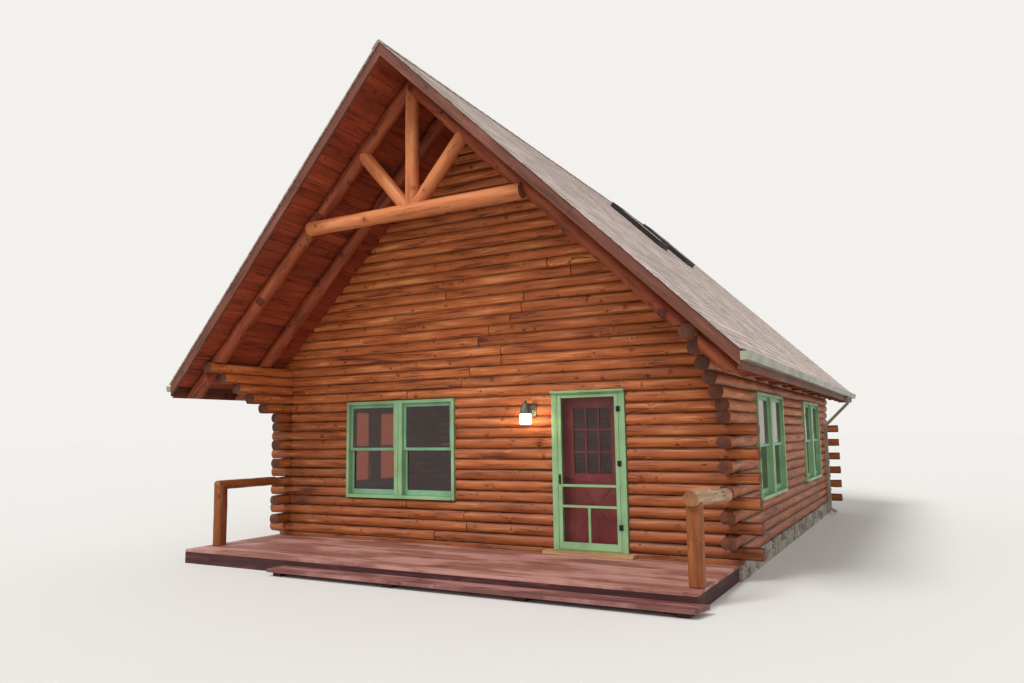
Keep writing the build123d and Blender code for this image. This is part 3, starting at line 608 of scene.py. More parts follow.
def slope_board(sizes, side, ys, downs, outs, rng, finish, bevel, lift=0.0):
    """Board along Y on a slope, between two values for each way. `lift` raises its lower edge."""
    width = downs[1] - downs[0]
    stock = board_stock(width, outs[1] - outs[0], bevel)
    start, end = (slope_point(sizes, side, y, sum(downs) / 2, sum(outs) / 2) for y in ys)
    ahead = slope_point(sizes, side, 0, 1, 0) - slope_point(sizes, side, 0, 0, 0)
    up = slope_normal(sizes, side) - ahead * lift / width
    return copied(stock, between(start, end, up), rng.random(), [finish], stretch=ys[1] - ys[0] - 1)


SKYLIGHTS = {"ys": (0.69, 2.57), "width": 0.64, "top": 0.9, "length": 1.3}
# Lowest and highest face of each layer of the roof, from the shingles' top.
CEILING = (-0.14, -0.118)
SHEATHING = (-0.12, -0.016)
UNDERLAY = (-0.015, -0.0105)
TABS = (-0.0085, -0.0035)
# How far inside the shingles' edge the ceiling ends, at the rakes and at the eaves.
RAKE_INSET = 0.06
EAVE_INSET = 0.08
# Shingle tabs: least and most width, the least rest at a row's end, the gap between two, how far their feet
# differ, how much the row below lifts a foot, and how far a tab runs up under the row above.
TAB_WIDTHS = (0.15, 0.34)
TAB_REST = 0.08
TAB_GAP = 0.003
TAB_DROP = 0.006
TAB_LIFT = 0.006
TAB_LAP = 0.03
# Shingles of the ridge cap, each with its rear end down on the roof and its front end on the one before.
CAP = {"length": 0.2, "wide": 0.15, "thick": 0.005, "low": 0.0035, "high": 0.0085, "lap": 0.01}


def clear_of_skylights(side, down, spans):
    """Spans of a row with the skylights' places taken out, on the right slope."""
    if side < 0 or not SKYLIGHTS["top"] < down < SKYLIGHTS["top"] + SKYLIGHTS["length"]:
        return spans
    for y in SKYLIGHTS["ys"]:
        spans = less(spans, y - SKYLIGHTS["width"] / 2, y + SKYLIGHTS["width"] / 2)
    return spans


class CABIN_OT_roof_boards(bpy.types.Operator):
    """Lay the ceiling boards of both slopes, with the sheathing over them"""
    bl_idname = "cabin.roof_boards"
    bl_label = "Ceiling boards"

    def execute(self, context):
        sizes = context.scene.cabin_sizes
        reach = slope_length(sizes, sizes.roof_edge) - EAVE_INSET
        lap, gap = 0.004, 0.0015
        for side, word in SIDES:
            rng = random.Random(21 + side)
            boards, core = [], []
            rows = math.ceil(reach / sizes.board_width)
            for n in range(rows):
                low, high = n * sizes.board_width, min((n + 1) * sizes.board_width, reach)
                middle = (low + high) / 2
                whole = (front_edge(sizes, high, RAKE_INSET), sizes.roof_back - RAKE_INSET)
                for span in clear_of_skylights(side, middle, [whole]):
                    core.append(slope_board(sizes, side, span, (low - lap, high + lap), SHEATHING, rng,
                                            "soffit", bevel=0.001))
                    for part in split(*span, rng, 2.6, 4.9):
                        boards.append(slope_board(sizes, side, part, (low, high - gap), CEILING, rng,
                                                  "soffit", bevel=0.005))
            piece = joined(boards + core, f"{word}_ceiling_boards")
            cut(piece, (0, 0, 0), (-side, 0, 0))
            finished(piece, nodes=[f"{word}_roof_deck"])
        return {"FINISHED"}


class CABIN_OT_shingles(bpy.types.Operator):
    """Lay the shingles, course over course, and the cap on the ridge"""
    bl_idname = "cabin.shingles"
    bl_label = "Shingles"

    def execute(self, context):
        sizes = context.scene.cabin_sizes
        reach = slope_length(sizes, sizes.roof_edge)
        courses = math.ceil(reach / sizes.exposure)
        for side, word in SIDES:
            rng = random.Random(31 + side)
            tabs = []
            for n in range(courses):
                foot = reach - n * sizes.exposure
                top = max(foot - sizes.exposure - TAB_LAP, 0.0)
                middle = (foot + top) / 2
                whole = (front_edge(sizes, top), sizes.roof_back)
                for y, end in clear_of_skylights(side, middle, [whole]):
                    tabs.append(slope_board(sizes, side, (y, end), (top, foot), UNDERLAY, rng, "shingle",
                                            bevel=0.0005))
                    while y < end - 0.01:
                        wide = min(rng.uniform(*TAB_WIDTHS), end - y)
                        if end - y - wide < TAB_REST:
                            wide = end - y
                        part, fall = (y, y + wide - TAB_GAP), (top, foot - rng.uniform(0, TAB_DROP))
                        tabs.append(slope_board(sizes, side, part, fall, TABS, rng, "shingle",
                                                bevel=0.0005, lift=TAB_LIFT))
                        y += wide
            piece = joined(tabs, f"{word}_shingle_courses")
            cut(piece, (0, 0, 0), (-side, 0, 0))
            cut(piece, (0, sizes.roof_front, 0), (side * sizes.prow_rake, -1, 0))
            finished(piece, nodes=[f"{word}_shingles"])
        rng = random.Random(33)
        caps = []
        y = sizes.roof_front
        stock = board_stock(CAP["wide"], CAP["thick"], 0.001)
        while y < sizes.roof_back - 0.01:
            end = min(y + CAP["length"], sizes.roof_back)
            tone = rng.random()
            for side in (-1, 1):
                near = slope_point(sizes, side, y, CAP["wide"] / 2, CAP["high"])
                far = slope_point(sizes, side, end, CAP["wide"] / 2, CAP["low"])
                place = between(near, far, slope_normal(sizes, side))
                caps.append(copied(stock, place, tone, ["shingle"], stretch=end - y - 1 + CAP["lap"]))
            y = end
        cap = joined(caps, "ridge_shingles")
        cut(cap, (0, sizes.roof_front, 0), (0, -1, 0))
        cut(cap, (0, sizes.roof_back, 0), (0, 1, 0))
        finished(cap, nodes=["ridge_cap"])
        return {"FINISHED"}


# Board of the rakes and eaves: its thickness and depth, and how far it stands back under the shingles.
EDGE_BOARD = {"thick": 0.038, "deep": 0.13, "under": 0.02}


class CABIN_OT_fascia(bpy.types.Operator):
    """Nail the rake and eave boards along the edges of the roof"""
    bl_idname = "cabin.fascia"
    bl_label = "Rake and eave boards"

    def execute(self, context):
        sizes = context.scene.cabin_sizes
        thick, depth, under = EDGE_BOARD["thick"], EDGE_BOARD["deep"], EDGE_BOARD["under"]
        edge = sizes.roof_edge - under
        foot = eave_foot(sizes)
        reach = slope_length(sizes, edge)
        # Two boards on a rake, with a joint between them.
        rakes = ((-0.15, 3.66), (3.662, reach + 0.2))
        inset = under + thick / 2
        stock = board_stock(thick, depth, 0.003)
        for side, word in SIDES:
            rng = random.Random(41 + side)
            boards = []
            for front in (True, False):
                for downs in rakes:
                    ends = []
                    for down in downs:
                        y = front_edge(sizes, down, inset) if front else sizes.roof_back - inset
                        ends.append(slope_point(sizes, side, y, down, -SHINGLE_DEPTH - depth / 2))
                    place = between(*ends, slope_normal(sizes, side))
                    length = (ends[1] - ends[0]).length
                    boards.append(copied(stock, place, rng.random(), ["fascia"], stretch=length - 1))
            rake = joined(boards, f"{word}_rake_boards")
            cut(rake, (0, 0, 0), (-side, 0, 0))
            cut(rake, (side * edge, 0, 0), (side, 0, 0))
            cut(rake, (0, 0, foot), (0, 0, -1))
            x0, x1 = sorted((side * (edge - thick), side * edge))
            top = roof_z(sizes, edge, SHINGLE_DEPTH)
            start, end = front_edge(sizes, reach, under + thick), sizes.roof_back - under - thick
            eaves = [laid_board((x0, y0, foot), (x1, y1, top), 1, rng, "fascia", 0.003)
                     for y0, y1 in split(start, end, rng, 3.2, 4.9)]
            piece = joined([rake, *eaves], f"{word}_edge_boards")
            finished(piece, nodes=[f"{word}_fascia"])
        return {"FINISHED"}


# Truss of the porch: metres before the wall and under the ridge, the logs' radii, how far the tie stands
# before the posts and ends short of the roof, and how far from the middle the struts end.
TRUSS = {"reach": 1.54, "drop": 2.145, "tie_radius": 0.1, "radius": 0.095, "tie_out": 0.1,
         "tie_short": 0.092, "strut_head": 0.845, "strut_foot": 0.05}


class CABIN_OT_rafters(bpy.types.Operator):
    """Set the round rafters and the truss of the porch"""
    bl_idname = "cabin.rafters"
    bl_label = "Rafters and truss"

    def execute(self, context):
        sizes = context.scene.cabin_sizes
        radius = sizes.rafter_radius
        offset = sizes.roof_depth + radius
        first = sizes.front_y - TRUSS["reach"]
        edge = sizes.roof_edge - EDGE_BOARD["under"] - EDGE_BOARD["thick"]
        foot = eave_foot(sizes)
        plate = course_z(sizes, sizes.side_courses - 0.5)
        crest = sizes.wall_axis + sizes.log_radius
        for side, word in SIDES:
            parts = []
            for near, far, bottom in ((0, crest, plate), (crest, edge, foot)):
                rng, growth = random.Random(51 + side), random.Random(151 + side)
                logs = []
                for n in range(sizes.rafter_count):
                    y = first + n * sizes.rafter_spacing
                    downs = (-0.15, slope_length(sizes, edge) + 0.3)
                    ends = [slope_point(sizes, side, y, down, -offset) for down in downs]
                    log = laid_log(*ends, radius, rng, ("rafter", "rafter_end"), ring=0.05, sides=18,
                                   up=slope_normal(sizes, side))
                    logs.append(knotty(log, *ends, radius, growth))
                part = joined(logs, f"{word}_rafter_parts")
                wavy(part, *RAFTER_WAVES)
                cut(part, (side * near, 0, 0), (-side, 0, 0))
                cut(part, (side * far, 0, 0), (side, 0, 0))
                cut(part, (0, 0, bottom), (0, 0, -1))
                parts.append(part)
            piece = joined(parts, f"{word}_rafter_logs")
            smooth(piece)
            finished(piece, nodes=[f"{word}_rafters"])
        self.truss(sizes, offset, first)
        return {"FINISHED"}

    def truss(self, sizes, offset, y):
        """Tie, king post and two struts under the first rafters."""
        rng = random.Random(53)
        pitch = math.radians(sizes.pitch)
        tie_z = sizes.ridge - TRUSS["drop"]
        half = (TRUSS["drop"] - offset / math.cos(pitch)) / math.tan(pitch) - TRUSS["tie_short"]
        tie_y, radius = y - TRUSS["tie_out"], TRUSS["radius"]

        def peeled(start, end, thick, sides, up):
            return laid_log(start, end, thick, rng, ("peeled", "peeled_end"), ring=0.08, sides=sides, up=up,
                            spread=0.0)

        tie = peeled((-half, tie_y, tie_z), (half, tie_y, tie_z), TRUSS["tie_radius"], 28, (0, 0, 1))
        king = peeled((0, y, tie_z), (0, y, roof_z(sizes, 0, offset)), radius, 24, (0, -1, 0))
        struts = []
        for side in (-1, 1):
            head = (side * TRUSS["strut_head"], y, roof_z(sizes, TRUSS["strut_head"], offset))
            start = (side * TRUSS["strut_foot"], y, tie_z + TRUSS["strut_foot"])
            struts.append(peeled(start, head, radius, 24, (0, -1, 0)))
        for name, pieces, node_name in (("tie_log", [tie], "truss_tie"), ("king_log", [king], "king_post"),
                                        ("strut_logs", struts, "truss_struts")):
            piece = joined(pieces, name)
            wavy(piece, *TRUSS_WAVES[name])
            smooth(piece)
            finished(piece, nodes=[node_name])


# Nodes of the frame that the casings and the sashes of each wall's windows stand for.
WINDOW_NODES = {
    "front": ("front_window_frame", "front_window_sashes"),
    "back": ("back_window", "back_window"),
    "right": ("right_windows", "right_windows"),
    "left": ("left_windows", "left_windows"),
}
# Metres between a wall piece and the logs beside it, and from the logs' crest to the face of a casing.
FIT = 0.002
CASING_PROUD = 0.02


class CABIN_OT_windows(bpy.types.Operator):
    """Build the twin windows, casings and sashes, and set them in the four walls"""
    bl_idname = "cabin.windows"
    bl_label = "Windows"

    def execute(self, context):
        sizes = context.scene.cabin_sizes
        rng = random.Random(61)
        half = sizes.window_width / 2 - FIT
        height = (WINDOW_COURSES[1] - WINDOW_COURSES[0]) * sizes.course - FIT
        casing, mullion, deep = 0.05, 0.075, 2 * sizes.log_radius
        face, lip, seam, bead = -CASING_PROUD, 0.012, 0.003, 0.004
        frame_boards = [
            ((-half, face, 0), (-half + casing, deep, height), 2),
            ((half - casing, face, 0), (half, deep, height), 2),
            ((-half + casing, face, height - casing), (half - casing, deep, height), 0),
            ((-half + casing, face - lip, 0), (half - casing, deep, casing), 0),
            ((-mullion, face, casing), (-seam, deep, height - casing), 2),
            ((seam, face, casing), (mullion, deep, height - casing), 2),
            ((-bead, face + lip, casing), (bead, deep, height - casing), 2),
            ((-half + lip, face - 0.006, height - 0.022), (half - lip, face, height - 0.006), 0),
        ]
        sash_boards = []
        middle, lap, stile, thick = height / 2, 0.0225, 0.05, 0.035
        # Lower and upper sash: foot, head, bottom rail, top rail and front face.
        levels = [(casing, middle + lap, 0.08, 0.045, 0.06),
                  (middle - lap, height - casing, 0.045, 0.055, 0.022)]
        for x0, x1 in ((-half + casing, -mullion), (mullion, half - casing)):
            for foot, head, low, high, front in levels:
                back = front + thick
                sash_boards += [
                    ((x0, front, foot), (x0 + stile, back, head), 2),
                    ((x1 - stile, front, foot), (x1, back, head), 2),
                    ((x0 + stile, front, foot), (x1 - stile, back, foot + low), 0),
                    ((x0 + stile, front, head - high), (x1 - stile, back, head), 0),
                ]
        stocks = (("frames", boarded(frame_boards, rng, "trim", 0.003, "window_frame_stock"), "trim_paint"),
                  ("sashes", boarded(sash_boards, rng, "sash", 0.004, "window_sash_stock"), "sash_paint"))
        foot = sizes.wall_base + WINDOW_COURSES[0] * sizes.course
        crest = sizes.wall_axis + sizes.log_radius
        sides = (sizes.front_y + SIDE_WINDOWS[0], sizes.front_y + SIDE_WINDOWS[1])
        places = {
            "front": [(FRONT_WINDOW, sizes.front_y, 0)],
            "back": [(0.0, sizes.back_y, 180)],
            "right": [(crest, y, 90) for y in sides],
            "left": [(-crest, y, -90) for y in sides],
        }
        for wall, spots in places.items():
            for node_name, (part, stock, slot) in zip(WINDOW_NODES[wall], stocks):
                copies = []
                for x, y, turn in spots:
                    mesh = stock.data.copy()
                    spin = Matrix.Rotation(math.radians(turn), 4, "Z")
                    mesh.transform(Matrix.Translation((x, y, foot)) @ spin)
                    obj = bpy.data.objects.new("copy", mesh)
                    context.collection.objects.link(obj)
                    copies.append(obj)
                finished(joined(copies, f"{wall}_window_{part}"), nodes=[node_name])
        for _, stock, _ in stocks:
            bpy.data.objects.remove(stock)
        return {"FINISHED"}


DOOR_LEAF = {"left": 1.3925, "right": 2.2975, "foot": 0.261, "head": 2.3646}
DOOR_PLAY = 0.005


class CABIN_OT_doorway(bpy.types.Operator):
    """Build the door's casings, stops, drip cap and the board before it"""
    bl_idname = "cabin.doorway"
    bl_label = "Doorway"

    def execute(self, context):
        sizes = context.scene.cabin_sizes
        rng = random.Random(71)
        left, right = DOOR[0] + FIT, DOOR[1] - FIT
        inner_left, inner_right = DOOR_LEAF["left"] - DOOR_PLAY, DOOR_LEAF["right"] + DOOR_PLAY
        base, head = sizes.wall_base, DOOR_LEAF["head"] + DOOR_PLAY
        top = sizes.wall_base + sizes.door_courses * sizes.course - FIT
        face, back = sizes.front_y - CASING_PROUD, sizes.front_y + 2 * sizes.log_radius
        stop0, stop1 = face + 0.035, back - 0.05
        floor, stop = base + 0.006, 0.012
        boards = [
            ((left, face, base), (inner_left, back, top), 2),
            ((inner_right, face, base), (right, back, top), 2),
            ((inner_left, face, head), (inner_right, back, top), 0),
            ((inner_left, face, base), (inner_right, back, floor), 0),
            ((inner_left, stop0, floor), (inner_left + stop, stop1, head), 2),
            ((inner_right - stop, stop0, floor), (inner_right, stop1, head), 2),
            ((inner_left + stop, stop0, head - stop), (inner_right - stop, stop1, head), 0),
            ((left - 0.008, face - 0.038, top + 0.008), (right + 0.008, sizes.front_y, top + 0.038), 0),
            ((left, face - 0.012, top), (right, sizes.front_y, top + 0.008), 0),
            ((left + 0.06, face - 0.003, base), (left + 0.066, face, top), 2),
            ((right - 0.066, face - 0.003, base), (right - 0.06, face, top), 2),
        ]
        piece = boarded(boards, rng, "trim", 0.0012, "door_casing")
        finished(piece, nodes=["door_frame"])
        middle = (DOOR[0] + DOOR[1]) / 2
        half, y = 0.655, sizes.front_y
        board = laid_board((middle - half, y - 0.16, 0.2), (middle + half, y - 0.01, 0.245), 0, rng,
                           "board", 0.004)
        board.name = "threshold_board"
        finished(board, nodes=["door_step_board"])
        return {"FINISHED"}


class CABIN_OT_doors(bpy.types.Operator):
    """Build the screen door and the nine-light entry door behind it"""
    bl_idname = "cabin.doors"
    bl_label = "Doors"

    def execute(self, context):
        sizes = context.scene.cabin_sizes
        rng = random.Random(81)
        left, right, foot, head = (DOOR_LEAF[k] for k in ("left", "right", "foot", "head"))
        middle = (left + right) / 2
        y0 = sizes.front_y - CASING_PROUD
        y1 = y0 + 0.03
        stile, bar, top_rail, bottom_rail = 0.056, 0.034, 0.045, 0.095
        low, high = foot + 0.559, foot + 0.839
        boards = [
            ((left, y0, foot), (left + stile, y1, head), 2),
            ((right - stile, y0, foot), (right, y1, head), 2),
            ((left + stile, y0, head - top_rail), (right - stile, y1, head), 0),
            ((left + stile, y0, foot), (right - stile, y1, foot + bottom_rail), 0),
            ((left + stile, y0, low), (right - stile, y1, low + bar), 0),
            ((left + stile, y0, high), (right - stile, y1, high + bar), 0),
            ((middle - bar / 2, y0, foot + bottom_rail), (middle + bar / 2, y1, low), 2),
        ]
        piece = boarded(boards, rng, "trim", 0.003, "screen_door_rails")
        finished(piece, "screen_door", ["screen_door_frame"])
        y1 = sizes.front_y + 2 * sizes.log_radius
        y0 = y1 - 0.045
        half, bar = 0.279, 0.022
        x0, x1 = middle - half, middle + half
        lites, panel = (foot + 1.009, foot + 1.916), (foot + 0.23, foot + 0.9)
        boards = [
            ((left, y0, foot), (x0, y1, head), 2),
            ((x1, y0, foot), (right, y1, head), 2),
            ((x0, y0, foot), (x1, y1, panel[0]), 0),
            ((x0, y0, panel[1]), (x1, y1, lites[0]), 0),
            ((x0, y0, lites[1]), (x1, y1, head), 0),
            ((x0, y0 + 0.01, panel[0]), (x1, y1 - 0.004, panel[1]), 2),
        ]
        for n in (1, 2):
            x = x0 + n * (2 * half + bar) / 3
            z = lites[0] + n * (lites[1] - lites[0] + bar) / 3
            boards.append(((x - bar, y0, lites[0]), (x, y1, lites[1]), 2))
            boards.append(((x0, y0, z - bar), (x1, y1, z), 0))
        pieces = [laid_board(a, b, n, rng, "door", 0.003) for a, b, n in boards]
        braces = []
        stock = board_stock(0.07, 0.012, 0.003)
        for a, b in ((0, 1), (1, 0)):
            start, end = Vector((x0, y0 + 0.006, panel[a])), Vector((x1, y0 + 0.006, panel[b]))
            place, length = between(start, end, (0, -1, 0)), (end - start).length + 0.1
            braces.append(copied(stock, place, rng.random(), ["door"], stretch=length - 1))
        cross = joined(braces, "cross_buck")
        for n, way in ((0, -1), (1, 1)):
            cut(cross, ((x0, x1)[n], 0, 0), (way, 0, 0))
            cut(cross, (0, 0, panel[n]), (0, 0, way))
        piece = joined([*pieces, cross], "entry_door_panels")
        finished(piece, "entry_door", ["entry_door_leaf"])
        return {"FINISHED"}


# Turned pieces of the lantern as pairs of radius and height: the hood, the jar with the ring under it and
# the socket above it, and the boss on the arm.
HOOD = ((0.078, -0.002), (0.084, 0.002), (0.084, 0.009), (0.078, 0.013), (0.076, 0.035), (0.067, 0.08),
        (0.054, 0.12), (0.036, 0.144), (0.019, 0.158), (0.015, 0.166), (0.02, 0.172), (0.014, 0.18),
        (0.006, 0.188))
JAR = ((0.03, 0.0), (0.064, 0.001), (0.074, 0.008), (0.079, 0.03), (0.079, 0.11), (0.073, 0.138),
       (0.064, 0.1495), (0.06, 0.1495), (0.069, 0.136), (0.075, 0.109), (0.075, 0.031), (0.07, 0.011),
       (0.03, 0.005))
RING = ((0.066, -0.003), (0.086, -0.003), (0.088, 0.0), (0.086, 0.003), (0.066, 0.003))
SOCKET = ((0.017, -0.03), (0.017, 0.004))
BOSS = ((0.02, -0.004), (0.026, 0.0), (0.02, 0.004))
# Ribs of the jar: where its wall is wider than this, every fourth of 48 points stands out.
RIB_RADIUS, RIB_STEP, RIB_SWELL = 0.0765, 7.5, 1.035
# Wall plate and the pad on it, the arm that carries the hood, and the guard bars round the jar, in metres
# and degrees.
PLATE = {"wide": 0.11, "tall": 0.165, "thick": 0.012, "rise": 0.045, "edge": 0.02, "pad": 0.005}
ARM = {"radius": 0.009, "reach": 0.16, "rise": 0.135}
GUARD = {"bars": 6, "first": 30, "ring": 0.086, "radius": 0.0024}


class CABIN_OT_lantern(bpy.types.Operator):
    """Build the lantern beside the door: hood, ribbed jar, guard bars, arm and wall plate"""
    bl_idname = "cabin.lantern"
    bl_label = "Lantern"

    def execute(self, context):
        sizes = context.scene.cabin_sizes
        rng = random.Random(97)
        low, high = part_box("lantern_jar")
        x, y = (low[0] + high[0]) / 2, (low[1] + high[1]) / 2
        foot, top = low[2], high[2]
        wall = sizes.front_y
        jar = turned(JAR, (x, y, foot), 48)

        def rib(point):
            across, along = point.co.x - x, point.co.y - y
            step = round(math.degrees(math.atan2(along, across)) / RIB_STEP)
            return math.hypot(across, along) > RIB_RADIUS and step % 4 == 0

        picked(jar, "VERT", rib)
        bpy.ops.transform.resize(value=(RIB_SWELL, RIB_SWELL, 1), center_override=(x, y, foot))
        bpy.ops.object.mode_set(mode="OBJECT")
        jar.data.materials.append(MATERIALS["jar"])
        smooth(jar, 50)
        finished(joined([jar], "ribbed_jar"), nodes=["lantern_jar"])
        arm, elbow = y + ARM["reach"], top + ARM["rise"]
        middle = top + PLATE["rise"]
        metal = [
            turned(HOOD, (x, y, top), 40),
            turned(RING, (x, y, foot + 0.002), 40),
            turned(SOCKET, (x, y, top), 24),
            rod((x, wall - 0.008, middle), (x, arm, middle), ARM["radius"]),
            rod((x, arm, middle), (x, arm, elbow), ARM["radius"]),
            rod((x, arm, elbow), (x, y + 0.02, elbow), ARM["radius"]),
            turned(BOSS, (x, arm, middle), 20),
        ]
        for n in range(GUARD["bars"]):
            turn = math.radians(GUARD["first"] + 360 * n / GUARD["bars"])
            bar_x, bar_y = x + GUARD["ring"] * math.cos(turn), y + GUARD["ring"] * math.sin(turn)
            metal.append(rod((bar_x, bar_y, foot + 0.002), (bar_x, bar_y, top + 0.003), GUARD["radius"], 8))
        for piece in metal:
            piece.data.materials.append(MATERIALS["zinc"])
        plates = []
        back = wall
        for inset, thick, bevel in ((0.0, PLATE["thick"], 0.004), (PLATE["edge"], PLATE["pad"], 0.003)):
            half, tall = PLATE["wide"] / 2 - inset, PLATE["tall"] / 2 - inset
            near, far = (x - half, back - thick, middle - tall), (x + half, back, middle + tall)
            plates.append(laid_board(near, far, 2, rng, "zinc", bevel))
            back -= thick
        body = joined([*plates, *metal], "lantern_metalwork")
        smooth(body, 40)
        finished(body, nodes=["lantern_body"])
        return {"FINISHED"}


# Porch and the tread before it: their edges and heights, the boards' thickness and the gaps between them,
# and how many joists and blocks carry them.
PORCH = {"left": -3.88, "right": 3.8, "top": 0.2, "depth": 1.87, "board": 0.038, "gap": 0.0025,
         "joists": 11}
TREAD = {"left": -1.9, "right": 3.925, "top": 0.1, "thick": 0.045, "depth": 0.31, "gap": 0.002, "blocks": 4}
# Posts and rails: x, metres before the wall, heights, and radius or half width.
LEFT_POST = {"out": 1.36, "head": 1.11, "radius": 0.098}
LEFT_RAIL = {"out": 1.44, "z": 1.11, "radius": 0.07}
RIGHT_POST = {"x": 3.72, "out": 1.57, "head": 1.1, "half": 0.0775}
RIGHT_RAIL = {"x": 3.72, "out": 1.72, "z": 1.133, "z_at_wall": 1.043, "radius": 0.084}


class CABIN_OT_porch(bpy.types.Operator):
    """Build the porch: boards on their frame, the tread before them, posts and rails"""
    bl_idname = "cabin.porch"
    bl_label = "Porch"

    def execute(self, context):
        sizes = context.scene.cabin_sizes
        rng = random.Random(91)
        front, back = sizes.front_y - PORCH["depth"], sizes.front_y - 0.01
        self.deck(sizes, rng, front, back)
        self.timbers(rng, front, back)
        self.tread(rng, front)
        self.rails(sizes, rng)
        return {"FINISHED"}

    def deck(self, sizes, rng, front, back):
        """Boards of the deck, and the strip behind them."""
        left, right, top = PORCH["left"], PORCH["right"], PORCH["top"]
        low = top - PORCH["board"]
        rows = round((back - front) / sizes.deck_board)
        step = (back - front) / rows
        boards = []
        for n in range(rows):
            y0, y1 = front + n * step + PORCH["gap"], front + (n + 1) * step - PORCH["gap"]
            for x0, x1 in split(left, right, rng, 2.4, 4.9):
                boards.append(laid_board((x0, y0, low), (x1, y1, top), 0, rng, "deck", 0.003))
        finished(joined(boards, "porch_boards"), nodes=["deck_boards"])
        # A strip closes the joint between the deck and the sill logs.
        wall = sizes.front_y
        near, far = (left + 0.02, wall - 0.008, top), (right + 0.06, wall + 0.004, sizes.wall_base + 0.002)
        sill = laid_board(near, far, 0, rng, "log", 0.003)
        sill.name = "sill_board"
        finished(sill)

    def timbers(self, rng, front, back):
        """Rim and joists under the deck."""
        left, right = PORCH["left"], PORCH["right"]
        rim, low = 0.038, PORCH["top"] - PORCH["board"]
        boards = [
            ((left, front, 0), (right, front + rim, low), 0),
            ((left, back - rim, 0), (right, back, low), 0),
            ((left, front + rim, 0), (left + rim, back - rim, low), 1),
            ((right - rim, front + rim, 0), (right, back - rim, low), 1),
        ]
        for n in range(1, PORCH["joists"] + 1):
            x = left + n * (right - left - rim) / (PORCH["joists"] + 1)
            boards.append(((x, front + rim, 0), (x + rim, back - rim, low), 1))
        # The frame's colour is darkened as painted shade under the deck boards.
        piece = boarded(boards, rng, "rim", 0.002, "porch_timbers")
        finished(piece, nodes=["deck_frame"])

    def tread(self, rng, front):
        """Two rows of planks on their blocks."""
        x0, x1, top, half = TREAD["left"], TREAD["right"], TREAD["top"], TREAD["depth"] / 2
        y0, low = front - TREAD["depth"], top - TREAD["thick"]
        planks = []
        for n in range(2):
            near, far = y0 + n * half + TREAD["gap"], y0 + (n + 1) * half - TREAD["gap"]
            for a, b in split(x0, x1, rng, 2.2, 3.6):
                planks.append(laid_board((a, near, low), (b, far, top), 0, rng, "step", 0.005))
        treads = joined(planks, "treads")
        # The right-hand end is sawn at a slant, and the blocks stand a little in from both ends.
        slant, inset, wide = 0.085, 0.06, 0.14
        cut(treads, (x1, front, 0), (TREAD["depth"], -slant, 0))
        first, last = x0 + inset, x1 - slant - inset - wide
        # The blocks take the porch frame's colour, darkened as painted shade under the tread.
        blocks = []
        for n in range(TREAD["blocks"]):
            x = first + n * (last - first) / (TREAD["blocks"] - 1)
            blocks.append(laid_board((x, y0 + inset, 0), (x + wide, front, low), 1, rng, "rim", 0.004))
        finished(joined([treads, *blocks], "porch_step"), nodes=["front_step"])

    def rails(self, sizes, rng):
        """Round post and rail on the left, square post and greyed rail on the right."""
        wall, top, ends = sizes.front_y, PORCH["top"], ("post", "peeled_end")
        rail_end = wall + sizes.log_radius - sizes.end_pass
        x, y, z = -sizes.wall_axis, wall - LEFT_POST["out"], LEFT_RAIL["z"]
        post = laid_log((x, y, top), (x, y, LEFT_POST["head"]), LEFT_POST["radius"], rng, ends, ring=0.06,
                        sides=28, up=(0, -1, 0), spread=0.0)
        rail = laid_log((x, wall - LEFT_RAIL["out"], z), (x, rail_end, z), LEFT_RAIL["radius"], rng, ends,
                        ring=0.06, sides=24, spread=0.0)
        for name, piece in (("left_post", post), ("left_rail", rail)):
            piece.name = f"{name}_log"
            wavy(piece, *RAIL_WAVES["left"])
            smooth(piece)
            finished(piece, nodes=[name])
        near = (RIGHT_RAIL["x"], wall - RIGHT_RAIL["out"], RIGHT_RAIL["z"])
        far = (sizes.wall_axis, wall + sizes.log_radius, RIGHT_RAIL["z_at_wall"])
        rail = laid_log(near, far, RIGHT_RAIL["radius"], rng, ("weathered", "peeled_end"), ring=0.06,
                        sides=28, spread=0.0)
        rail.name = "right_rail_log"
        cut(rail, (0, rail_end, 0), (0, 1, 0))
        wavy(rail, *RAIL_WAVES["right"])
        smooth(rail)
        finished(rail, nodes=["right_rail"])
        x, y, half = RIGHT_POST["x"], wall - RIGHT_POST["out"], RIGHT_POST["half"]
        near, far = (x - half, y - half, top), (x + half, y + half, RIGHT_POST["head"])
        post = laid_board(near, far, 2, rng, "post", 0.014)
        post.name = "right_post_timber"
        finished(post, nodes=["right_post"])


# Materials
def fed(target, links):
    """Gives a node's inputs their values, or links them to sockets or to other nodes' first outputs."""
    for key, value in links.items():
        if isinstance(value, bpy.types.Node):
            value = value.outputs[0]
        if isinstance(value, bpy.types.NodeSocket):
            target.id_data.links.new(value, target.inputs[key])
        else:
            target.inputs[key].default_value = value
    return target


def node(tree, kind, links=None, stops=None, **settings):
    """Adds a node, with its settings, its inputs' values or links, and a ramp's stops."""
    new = tree.nodes.new(f"ShaderNode{kind}")
    for key, value in settings.items():
        setattr(new, key, value)
    if stops:
        ramp = new.color_ramp
        while len(ramp.elements) < len(stops):
            ramp.elements.new(0.5)
        for element, (place, colour) in zip(ramp.elements, stops):
            element.position = place
            element.color = linear(colour) if isinstance(colour, str) else (colour, colour, colour, 1.0)
    return fed(new, links or {})


MATERIALS = {}
# The number for a piece's tone moves the patterns on it this far, so that no two pieces look alike.
KNOT_SHIFT = (53.0, 31.0, 0.0)
GRAIN_SHIFT = (37.0, 17.0, 9.0)
RING_SHIFT = (7.0, 13.0, 5.0)


def new_material(name, title):
    """Node tree of a new material, and its Principled shader."""
    made = bpy.data.materials.new(title)
    made.use_nodes = True
    MATERIALS[name] = made
    tree = made.node_tree
    tree.nodes.clear()
    shader = node(tree, "BsdfPrincipled")
    node(tree, "OutputMaterial", {"Surface": shader})
    return tree, shader


